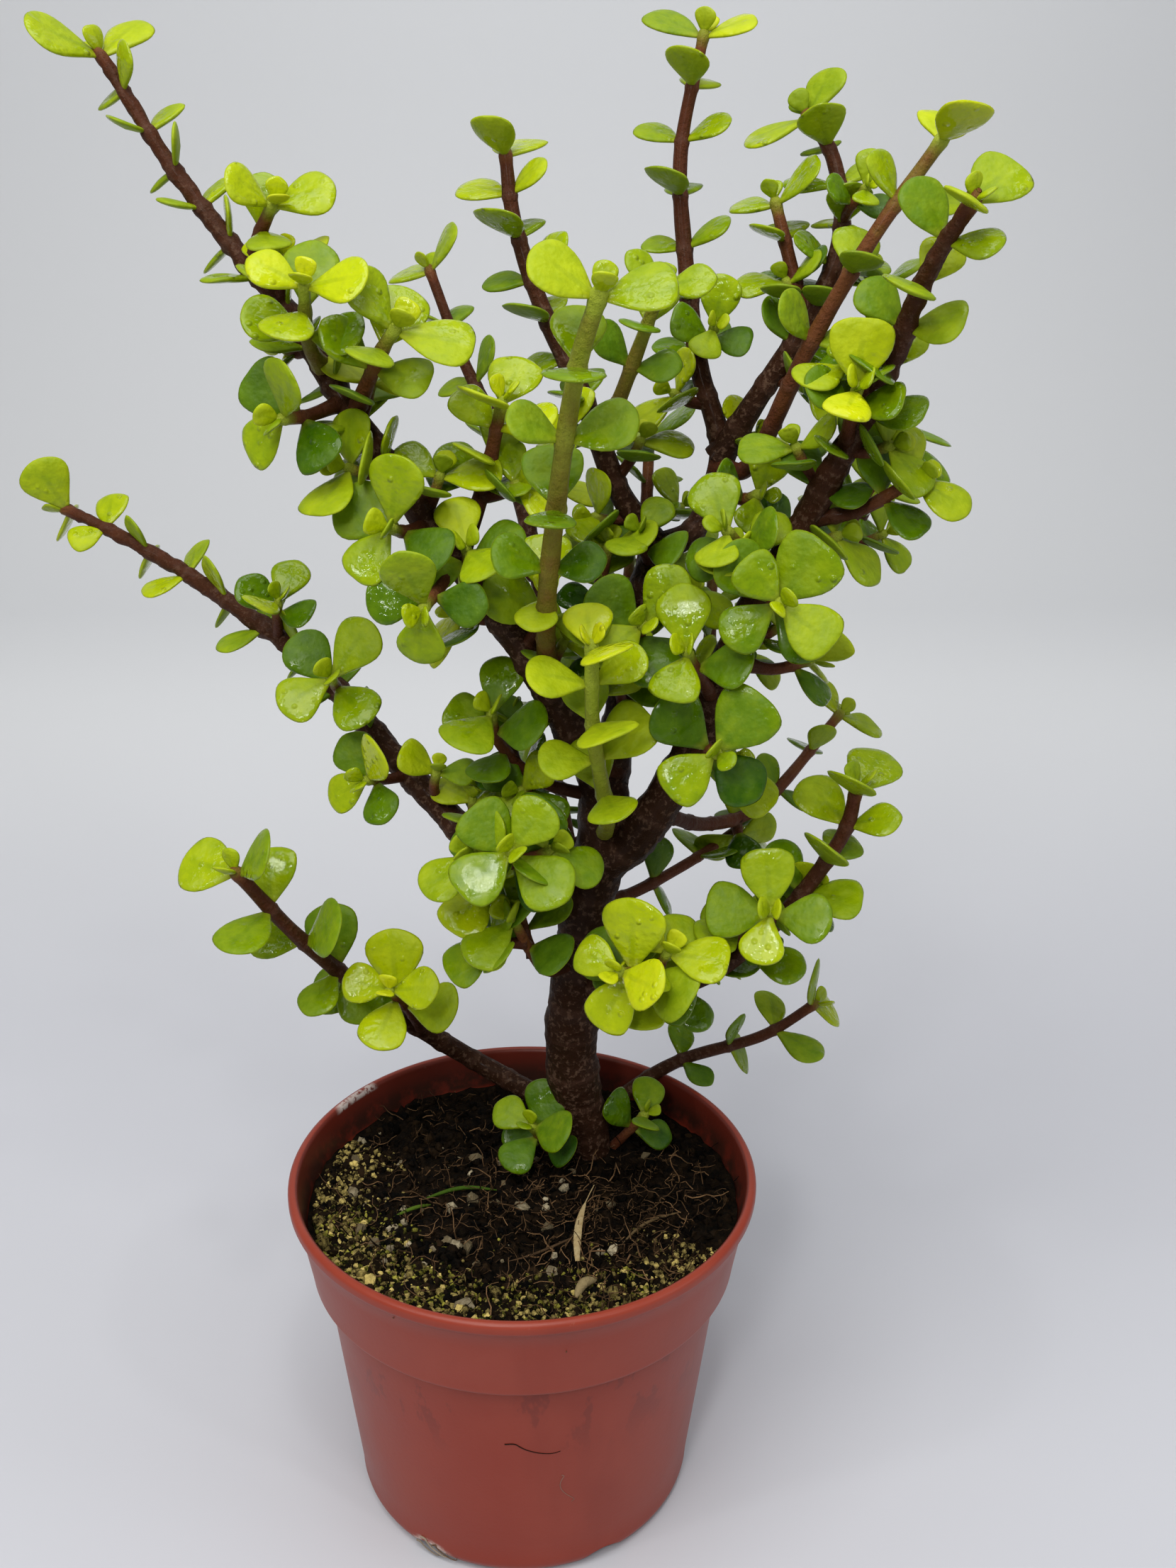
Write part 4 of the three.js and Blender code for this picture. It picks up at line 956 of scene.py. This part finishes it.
      "leaves": {"first": 0.75, "pairs": 2, "size": [13, 13, 11.5], "turn": 0, "open": 66}},
    {"name": "back_low_shoot", "parent": "trunk", "at": 0.65, "radius": [2, 1.3],
      "path": [[-2, 18, 12], [-6, 42, 30]],
      "leaves": {"first": 0.45, "pairs": 3, "size": [14, 15, 15], "turn": 30, "open": 64},
      "sprigs": [[0.5, 0, 10, 14], [0.72, 180, 9, 14]]},
    {"name": "back_middle_shoot", "parent": "centre_limb", "at": 0.2, "radius": [2.1, 1.3],
      "path": [[2, 20, 10], [6, 46, 34]],
      "leaves": {"first": 0.4, "pairs": 4, "size": [14, 14, 15], "turn": 10, "open": 64},
      "sprigs": [[0.4, 180, 10, 14], [0.65, 0, 9, 14]]},
    {"name": "back_right_shoot", "parent": "right_main_limb", "at": 0.26, "radius": [2, 1.3],
      "path": [[4, 24, 6], [8, 52, 26]],
      "leaves": {"first": 0.4, "pairs": 4, "size": [14, 14, 15], "turn": 20, "open": 64},
      "sprigs": [[0.45, 0, 10, 14], [0.7, 180, 9, 14]]},
    {"name": "back_high_shoot", "parent": "centre_limb", "at": 0.8, "radius": [2, 1.3],
      "path": [[2, 20, 10], [4, 36, 32]],
      "leaves": {"first": 0.45, "pairs": 3, "size": [13, 14, 14], "turn": 40, "open": 64},
      "sprigs": [[0.5, 180, 9, 13]]},
    {"name": "left_high_fan", "parent": "left_high_limb", "at": 0.37, "radius": [1.7, 1.2],
      "path": [[-5, -8, 0], [-8, -14, 2]],
      "leaves": {"first": 0.65, "pairs": 2, "size": [17, 16, 16], "turn": 20, "open": 74}},
    {"name": "left_upper_fan", "parent": "left_high_limb", "at": 0.53, "radius": [1.7, 1.2],
      "path": [[-7, -8, -2], [-12, -14, -2]],
      "leaves": {"first": 0.65, "pairs": 2, "size": [16, 16, 15], "turn": 40, "open": 72}},
    {"name": "left_mid_fan", "parent": "left_high_limb", "at": 0.2, "radius": [1.7, 1.2],
      "path": [[5, -8, 8], [5, -14, 16]],
      "leaves": {"first": 0.6, "pairs": 2, "size": [17, 16, 14], "turn": 10, "open": 70}},
    {"name": "bright_side_twig", "parent": "top_centre_stem", "at": 0.18, "radius": [1.7, 1.2],
      "path": [[4, -10, -3], [8, -16, -1]],
      "leaves": {"first": 0.7, "pairs": 2, "size": [14, 14, 13], "turn": 30, "open": 70}},
    {"name": "right_centre_fan", "parent": "right_main_limb", "at": 0.5, "radius": [1.7, 1.2],
      "path": [[-8, -5, 3], [-14, -9, 9]],
      "leaves": {"first": 0.6, "pairs": 2, "size": [14, 14, 14], "turn": 30, "open": 68}},
]


class StemLine:
    # a smooth curve through the points, measured along its length
    def __init__(self, points):
        knots = [np.array(point, dtype=float) for point in points]
        before = 2 * knots[0] - knots[1]
        after = 2 * knots[-1] - knots[-2]
        self.knots = [before, *knots, after]
        self.times = np.linspace(0, 1, 201)
        samples = np.array([self.onCurve(time) for time in self.times])
        steps = np.linalg.norm(np.diff(samples, axis=0), axis=1)
        self.run = np.concatenate([[0], np.cumsum(steps)])
        self.length = self.run[-1]

    def onCurve(self, time):
        spans = len(self.knots) - 3
        span = min(int(time * spans), spans - 1)
        share = time * spans - span
        a, b, c, d = self.knots[span:span + 4]
        rise, fall = (c - a) / 2, (d - b) / 2
        cubic = 2 * b - 2 * c + rise + fall
        square = -3 * b + 3 * c - 2 * rise - fall
        return b + rise * share + square * share ** 2 + cubic * share ** 3

    def timeAt(self, share):
        return float(np.interp(share * self.length, self.run, self.times))

    def at(self, share):
        return Vector(self.onCurve(self.timeAt(share)))

    def heading(self, share):
        time = self.timeAt(share)
        step = Vector(self.onCurve(min(time + 1e-4, 1))) - Vector(self.onCurve(max(time - 1e-4, 0)))
        return step.normalized()


def layLines():
    root = np.array([*trunkFoot, soilLevel / mm])
    lines = {"trunk": StemLine([root + np.array(step) for step in trunkLine["path"]])}
    for shoot in shoots:
        start = np.array(lines[shoot["parent"]].at(shoot["at"]))
        lines[shoot["name"]] = StemLine([start] + [start + np.array(step) for step in shoot["path"]])
    return lines


lines = layLines()

stemLook = {"ring": 1.1, "nodeGap": 10.5, "swell": 0.22, "flare": 0.35, "swellUpTo": 6.5}
sprigRule = {"radius": [1.4, 1.1], "lean": 0.5, "rise": 0.2, "first": 0.52, "open": 70}
# how woody a stem is at its foot and at its tip: 1 is old bark, 0 is fresh green
woodiness = {
    "trunk": (1.0, 0.96),
    "left_high_limb": (1.0, 0.62), "left_middle_limb": (1.0, 0.6), "centre_limb": (1.0, 1.0),
    "right_main_limb": (1.0, 0.66), "left_low_branch": (1.0, 0.6), "right_low_branch": (0.95, 0.6),
    "right_rim_branch": (0.9, 0.55), "top_left_stem": (1.0, 0.6), "top_centre_stem": (1.0, 0.42),
    "right_centre_stem": (1.0, 0.6), "red_front_shoot": (0.6, 0.28), "right_back_limb": (0.9, 0.55),
    "front_tall_shoot": (0.34, 0.1), "front_bright_shoot": (0.16, 0.03), "green_side_shoot": (0.36, 0.12),
    "back_left_stem": (1.0, 0.6), "young_centre_shoot": (0.6, 0.4), "right_red_shoot": (0.6, 0.4),
    "right_mid_twig": (0.6, 0.4), "left_cup_shoot": (0.3, 0.1), "left_knot_twig": (0.55, 0.2),
}


def modelStem(name, line, radii, nodes, flare):
    # a tube with a swollen ring at every pair of leaves, old or new, and a wide foot in its parent
    ringCount = max(6, round(line.length / stemLook["ring"]))
    points, widths = [], []
    wobble = random.Random(name)
    phase = wobble.uniform(0, 6.28)
    for ring in range(ringCount + 1):
        share = ring / ringCount
        along = share * line.length
        radius = radii[0] + (radii[1] - radii[0]) * share
        for node in nodes:
            away = (along - node * line.length) / max(0.8, radius * 0.35)
            thin = max(0, 1 - radius / stemLook["swellUpTo"])
            radius *= 1 + stemLook["swell"] * math.exp(-away * away) * thin
        radius *= 1 + 0.03 * math.sin(along * 0.4 + phase)
        if flare:
            radius *= 1 + stemLook["flare"] * math.exp(-along / (radii[0] * 1.3))
        points.append(line.at(share) * mm)
        widths.append(radius * mm)
    heading = line.heading(1)
    points.append(points[-1] + heading * radii[1] * 0.55 * mm)
    widths.append(widths[-1] * 0.7)
    points.append(points[-1] + heading * radii[1] * 0.25 * mm)
    widths.append(widths[-2] * 0.3)
    resolution = 8 if radii[0] > 6 else 4 if radii[0] > 2.5 else 3
    return thread(name, points, widths, resolution=resolution)


def nodeShares(line, shoot):
    # leaf pairs, and below the first of them the scars of older ones
    leaves = shoot.get("leaves")
    shares = []
    first = leaves["first"] if leaves else 1.0
    if leaves:
        for pair in range(leaves["pairs"]):
            step = pair / (leaves["pairs"] - 1) if leaves["pairs"] > 1 else 1
            shares.append(min(first + (1 - first) * step, 1 - shoot["radius"][1] / line.length))
    gap = stemLook["nodeGap"] / line.length
    below = first - gap
    while below > 0.04:
        shares.append(below)
        below -= gap * random.Random(round(below * 1000)).uniform(0.85, 1.2)
    return shares


def stemFinish():
    paint = Paint("jadeBark", IOR=1.45, Coat_Roughness=0.2, Specular_IOR_Level=0.1)
    place = paint.objectPlace()
    wood = paint.attribute("wood")
    ringMask = paint.attribute("node")
    streak = paint.noise(700, 5, 0.65, place)
    cloud = paint.noise(170, 4, 0.6, place)
    age = wood + (cloud - 0.5) * 0.28
    base = paint.ramp(
        age, (0.04, (0.30, 0.36, 0.03)), (0.2, (0.19, 0.17, 0.018)), (0.36, (0.15, 0.052, 0.016)),
        (0.52, (0.090, 0.025, 0.010)), (0.74, (0.048, 0.0155, 0.0055)), (1.0, (0.028, 0.0105, 0.0045)))
    flaky = paint.between(wood, 0.5, 0.9) * paint.between(streak, 0.52, 0.62)
    base = paint.mix(flaky * 0.5, base, (0.18, 0.105, 0.068))
    base = paint.mix(ringMask * paint.between(wood, 0.15, 0.6) * 0.35, base, (0.12, 0.058, 0.038))
    paint.relief((streak, 0.9 * mm), (cloud, 0.8 * mm))
    gloss = paint.between(wood, 0.1, 0.8, 0.36, 0.56) + (streak - 0.5) * 0.3
    return paint.coat(Base_Color=base, Roughness=gloss, Coat_Weight=0.05)


barkFinish = stemFinish()


def addStem(name, line, shoot):
    nodes = nodeShares(line, shoot)
    stem = modelStem(name + "_stem", line, shoot["radius"], nodes, shoot["parent"] != "soil")
    foot, tip = woodiness.get(name, (0.75, 0.3))
    samples = np.array([line.onCurve(time) for time in line.times]) * mm
    places = placesOf(stem)
    nearest = np.argmin(((places[:, None, :] - samples[None, :, :]) ** 2).sum(axis=2), axis=1)
    shares = line.run[nearest] / line.length
    green = np.clip((shares - (1 - 5 / line.length)) * line.length / 5, 0, 1) * 0.3
    writeAttribute(stem, "wood", foot + (tip - foot) * shares - green)
    if nodes:
        away = np.min(np.abs(shares[:, None] - np.array(nodes)[None, :]), axis=1) * line.length
        writeAttribute(stem, "node", np.exp(-(away / 0.7) ** 2))
    if shoot["radius"][0] > 4:
        bark = bpy.data.textures.new("barkLumps", "CLOUDS")
        bark.noise_scale = 3.5 * mm
        applyModifier(stem, "DISPLACE", texture=bark, strength=1.5 * mm, mid_level=0.5)
    finishMesh(stem, 60)
    slotName = "bark" if foot > 0.7 else "green_stem"
    return hand(stem, slotName, barkFinish, *([name] if name in lines else []))


leafRule = {
    "width": 0.88, "thickness": 1.8, "towardLight": 0.55, "light": Vector((-0.15, -0.75, 0.65)),
    "sway": 9, "stretch": 0.1, "sides": 16, "rings": 4, "pressed": 1.2,
}
# how each leaf model is pulled: width of its foot, how far its widest part lies forward, tip width, depth
# of the notch at the tip, dish, droop of the tip, lift of one side
leafPulls = [
    {"foot": 0.30, "forward": 0.12, "tip": 1.10, "notch": 0.0, "dish": 0.16, "droop": 0.10, "twist": 0.0},
    {"foot": 0.34, "forward": 0.09, "tip": 1.04, "notch": 0.03, "dish": 0.08, "droop": -0.16, "twist": 0.06},
    {"foot": 0.26, "forward": 0.15, "tip": 1.16, "notch": 0.05, "dish": 0.24, "droop": 0.22, "twist": -0.06},
    {"foot": 0.36, "forward": 0.07, "tip": 0.92, "notch": -0.03, "dish": 0.12, "droop": 0.34, "twist": 0.10},
    {"foot": 0.28, "forward": 0.14, "tip": 1.14, "notch": 0.07, "dish": 0.32, "droop": -0.06, "twist": 0.0},
    {"foot": 0.38, "forward": 0.11, "tip": 1.00, "notch": 0.0, "dish": 0.04, "droop": 0.18, "twist": -0.10},
]


def pull(piece, wanted, reach, move=None, size=None, about=(0, 0, 0)):
    pickVertices(piece, wanted)
    soft = {"use_proportional_edit": True, "proportional_edit_falloff": "SMOOTH", "proportional_size": reach}
    if move:
        bpy.ops.transform.translate(value=move, **soft)
    if size:
        bpy.ops.transform.resize(value=size, center_override=about, **soft)
    bpy.ops.object.mode_set(mode="OBJECT")


def modelLeaf(number, pulls):
    # a ball pressed flat, one unit long from its foot at the origin, its upper face towards +Z
    bpy.ops.object.select_all(action="DESELECT")
    bpy.ops.mesh.primitive_uv_sphere_add(
        segments=leafRule["sides"], ring_count=leafRule["rings"], radius=0.5, location=(0.5, 0, 0))
    leaf = bpy.context.object
    leaf.name = f"leaf_model_{number}"
    settle(leaf)
    shoulder = 0.5 * math.sin(math.radians(180 / leafRule["rings"]))
    pickVertices(leaf, lambda place: shoulder * 0.9 < abs(place.z) < shoulder * 1.1)
    spread = leafRule["pressed"]
    bpy.ops.transform.resize(value=(spread, spread, 1), center_override=(0.5, 0, 0))
    bpy.ops.object.mode_set(mode="OBJECT")
    pull(leaf, lambda place: abs(place.y) > 0.42, 0.34, move=(pulls["forward"], 0, 0))
    pull(leaf, lambda place: place.x < 0.19, 0.5, size=(1, pulls["foot"], 1))
    pull(leaf, lambda place: place.x > 0.9, 0.3, size=(1, pulls["tip"], 1), about=(1, 0, 0))
    pull(leaf, lambda place: place.x > 0.97, 0.16, move=(-pulls["notch"], 0, 0))
    places = placesOf(leaf)
    rim = [abs(place[2]) < 0.01 for place in places]
    writeAttribute(leaf, "leafAlong", places[:, 0])
    writeAttribute(leaf, "leafAcross", places[:, 1] / np.abs(places[:, 1]).max())
    writeAttribute(leaf, "leafEdge", np.array(rim, dtype=float))
    writeAttribute(leaf, "leafUpper", places[:, 2] * 2)
    pull(leaf, lambda place: abs(place.y) < 0.12 and 0.3 < place.x < 0.8, 0.42, move=(0, 0, -pulls["dish"]))
    pull(leaf, lambda place: place.x > 0.95, 0.6, move=(0, 0, -pulls["droop"]))
    if pulls["twist"]:
        pull(leaf, lambda place: place.y > 0.35 and place.x > 0.4, 0.35, move=(0, 0, pulls["twist"] * 3))
    return leaf


def wayOut(line, share, bearing):
    # the stem's heading there, and the way out of it at a bearing about it
    chord = (line.at(1) - line.at(0)).normalized()
    away = Vector((0, 1, 0))
    reference = away if abs(chord.dot(away)) < 0.75 else Vector((0, 0, 1))
    tangent = line.heading(share)
    side = tangent.cross(reference).normalized()
    front = side.cross(tangent)
    return tangent, side * math.cos(bearing) + front * math.sin(bearing)


# limbs whose tip leaves turn their faces more to the light
tipsTurned = {"left_high_limb": 0.85, "left_middle_limb": 0.9}


def leafSpots(line, shoot):
    # every leaf of a shoot: foot, heading, face, length and how young it is
    leaves = shoot["leaves"]
    baseLength, upperLength, tipLength = leaves["size"]
    spots = []

    def put(share, length, bearing, opening, youth, lightShare):
        tangent, outward = wayOut(line, share, bearing)
        along = tangent * math.cos(opening) + outward * math.sin(opening)
        face = tangent * (1 - lightShare) + leafRule["light"] * lightShare
        face = (face - along * face.dot(along)).normalized()
        spots.append((line.at(share), along, face, length, youth))

    pairs = leaves["pairs"]
    for pair in range(pairs):
        step = pair / (pairs - 1) if pairs > 1 else 1
        share = min(leaves["first"] + (1 - leaves["first"]) * step, 1 - shoot["radius"][1] / line.length)
        length = tipLength if pair == pairs - 1 else baseLength + (upperLength - baseLength) * step
        for half in range(2):
            sway = leafRule["sway"] * math.sin(5 * pair + 3 * half)
            bearing = math.radians(leaves["turn"] + 90 * pair + 180 * half + sway)
            stretch = 1 + leafRule["stretch"] * math.sin(7 * pair + 4 * half)
            opening = math.radians(leaves["open"] + sway * 0.8)
            lightShare = leafRule["towardLight"]
            if pair >= pairs - 2:
                lightShare = tipsTurned.get(shoot["name"], lightShare)
            put(share, length * stretch, bearing, opening, step, lightShare)
    bud = tipLength * 0.42
    for half in range(2):
        bearing = math.radians(leaves["turn"] + 90 * pairs + 180 * half)
        put(0.995, bud, bearing, math.radians(26), 1.25, 0.15)
    return spots


def sprigOf(name, line, number, settings):
    # a short side twig with two pairs of leaves
    at, bearing, reach, leafLength = settings
    tangent, outward = wayOut(line, at, math.radians(bearing))
    heading = tangent * sprigRule["lean"] + outward
    start = line.at(at)
    rise = Vector((0, 0, sprigRule["rise"]))
    twig = StemLine([start, start + heading * reach * 0.5, start + (heading + rise) * reach])
    leaves = {
        "first": sprigRule["first"], "pairs": 2, "size": [leafLength] * 3, "turn": bearing - 90,
        "open": sprigRule["open"]}
    sprig = {
        "name": f"{name}_sprig_{number}", "parent": name, "radius": sprigRule["radius"], "leaves": leaves}
    return twig, sprig


def leafFinish():
    paint = Paint("jadeLeaf", IOR=1.42, Coat_Roughness=0.06, Specular_IOR_Level=0.27)
    place = paint.objectPlace()
    youth = paint.attribute("leafYouth")
    tint = paint.attribute("leafTint")
    along = paint.attribute("leafAlong")
    across = paint.attribute("leafAcross")
    edge = paint.attribute("leafEdge")
    upper = paint.attribute("leafUpper")
    cloud = paint.noise(260, 4, 0.6, place)
    fine = paint.noise(1500, 3, 0.6, place)
    tone = youth * 0.5 + tint * 0.5 + (cloud - 0.5) * 0.34
    base = paint.ramp(
        tone, (0.05, (0.026, 0.082, 0.001)), (0.30, (0.105, 0.195, 0.001)), (0.52, (0.245, 0.335, 0.002)),
        (0.76, (0.420, 0.495, 0.003)), (1.0, (0.600, 0.610, 0.008)))
    rim = paint.between(edge, 0.72, 1.0)
    base = paint.mix(rim * 0.3, base, (0.40, 0.44, 0.018))
    foot = paint.between(along, 0.24, 0.04)
    base = paint.mix(foot * 0.45, base, (0.34, 0.36, 0.025))
    rib = paint.between(across * across, 0.012, 0.0) * paint.between(along, 0.9, 0.4)
    base = paint.mix(rib * 0.2, base, (0.05, 0.12, 0.004))
    under = paint.between(upper, 0.1, -0.6)
    base = paint.mix(under * 0.3, base, (0.20, 0.27, 0.010))
    pores = paint.between(fine, 0.62, 0.74)
    base = paint.mix(pores * 0.1, base, (0.42, 0.5, 0.05))
    # a wet film lies on some leaves, with beads in it
    bead = paint.between(paint.spots(300, place), 0.28, 0.05)
    film = paint.between(paint.noise(48, 3, 0.6, place), 0.47, 0.56)
    buckle = paint.noise(300, 2, 0.5, place)
    crinkle = paint.noise(720, 2, 0.5, place)
    paint.relief((buckle, 0.5 * mm), (crinkle, 0.2 * mm), (bead * film, 0.4 * mm))
    gloss = paint.between(cloud, 0.3, 0.7, 0.46, 0.56) - film * 0.43
    return paint.coat(Base_Color=base, Roughness=gloss, Coat_Weight=film * 0.14)


leafModels = [modelLeaf(number, pulls) for number, pulls in enumerate(leafPulls)]
greenFinish = leafFinish()
# how yellow a shoot's leaves are, from 0 to 1
leafTone = {
    "front_bright_shoot": 0.85, "left_bright_shoot": 0.9, "yellow_twig": 0.6, "front_tall_shoot": 0.42,
    "left_cup_shoot": 0.75, "left_cap_shoot": 0.8, "front_low_shoot": 0.85, "basal_left_shoot": 0.1,
    "basal_right_shoot": 0.15, "right_rosette_c": 0.3, "back_low_shoot": 0.2, "back_middle_shoot": 0.25,
    "left_high_limb": 0.62, "left_middle_limb": 0.55, "left_upper_twig": 0.7, "left_knot_twig": 0.7,
    "left_mid_fan": 0.6, "right_main_limb": 0.45, "red_front_shoot": 0.7, "top_centre_stem": 0.55,
    "left_lower_twig": 0.4, "left_inner_twig": 0.3, "left_fan_shoot": 0.3, "four_leaf_twig": 0.4,
    "top_left_stem": 0.5,
}


def addLeaves(name, spots):
    fate = random.Random(name)
    tone = leafTone.get(name, 0.4)
    copies = []
    for foot, along, face, length, youth in spots:
        thickness = leafRule["thickness"] * min(1, 0.4 + length / 20)
        across = face.cross(along)
        width = length * leafRule["width"] * fate.uniform(0.92, 1.06)
        frameOf = Matrix((
            (along.x * length, across.x * width, face.x * thickness, foot.x),
            (along.y * length, across.y * width, face.y * thickness, foot.y),
            (along.z * length, across.z * width, face.z * thickness, foot.z),
            (0, 0, 0, 1)))
        size = Matrix.Scale(mm, 4)
        leaf = copyOf(fate.choice(leafModels), size @ frameOf)
        count = len(leaf.data.vertices)
        writeAttribute(leaf, "leafTint", [min(1, max(0, tone + fate.gauss(0, 0.17)))] * count)
        writeAttribute(leaf, "leafYouth", [youth * 0.55 + 0.1] * count)
        copies.append(leaf)
    piece = joinPieces(copies, name + "_leaves")
    selectOnly(piece)
    bpy.ops.object.shade_smooth()
    smooth = piece.modifiers.new("smooth", "SUBSURF")
    smooth.levels = 1
    smooth.render_levels = 1
    return hand(piece, "leaf", greenFinish, name)


trunkShoot = {"name": "trunk", "parent": "soil", "radius": trunkLine["radius"]}
addStem("trunk", lines["trunk"], trunkShoot)
for shoot in shoots:
    name, line = shoot["name"], lines[shoot["name"]]
    addStem(name, line, shoot)
    spots = leafSpots(line, shoot) if "leaves" in shoot else []
    for number, settings in enumerate(shoot.get("sprigs", [])):
        twig, sprig = sprigOf(name, line, number, settings)
        addStem(sprig["name"], twig, sprig)
        spots += leafSpots(twig, sprig)
    if spots:
        addLeaves(name, spots)
discard(leafModels)
print("stems and leaves are grown")


straw = {"width": 0.85, "thin": 0.3, "bow": 1.6, "arch": 1.2}


def modelStraw():
    low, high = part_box("straw_blade")
    start, end = Vector((low.x + 1 * mm, low.y, high.z)), Vector((high.x - 1 * mm, high.y, high.z))
    aside = Vector((0, 0, 1)).cross(end - start).normalized()
    points, widths = [], []
    for step in range(17):
        share = step / 16
        hump = math.sin(share * math.pi)
        lift = Vector((0, 0, straw["arch"] * mm * hump))
        points.append(start.lerp(end, share) + aside * straw["bow"] * mm * hump + lift)
        widths.append(straw["width"] * mm * (0.15 + math.sin(min(1, share * 1.2 + 0.1) * math.pi) ** 0.7))
    blade = thread("straw_leaf", points, widths, resolution=2)
    pickVertices(blade, lambda place: True)
    centre = (low + high) / 2
    centre.z = high.z + 1 * mm
    bpy.ops.transform.resize(value=(1, 1, straw["thin"]), center_override=centre)
    bpy.ops.object.mode_set(mode="OBJECT")
    finishMesh(blade, 50)
    return blade


strawFinish = earthyFinish("dryStraw", (0.34, 0.24, 0.11), (0.74, 0.60, 0.34), 0.6, 500)
hand(modelStraw(), "straw", strawFinish, "straw_blade")
print("straw is laid")
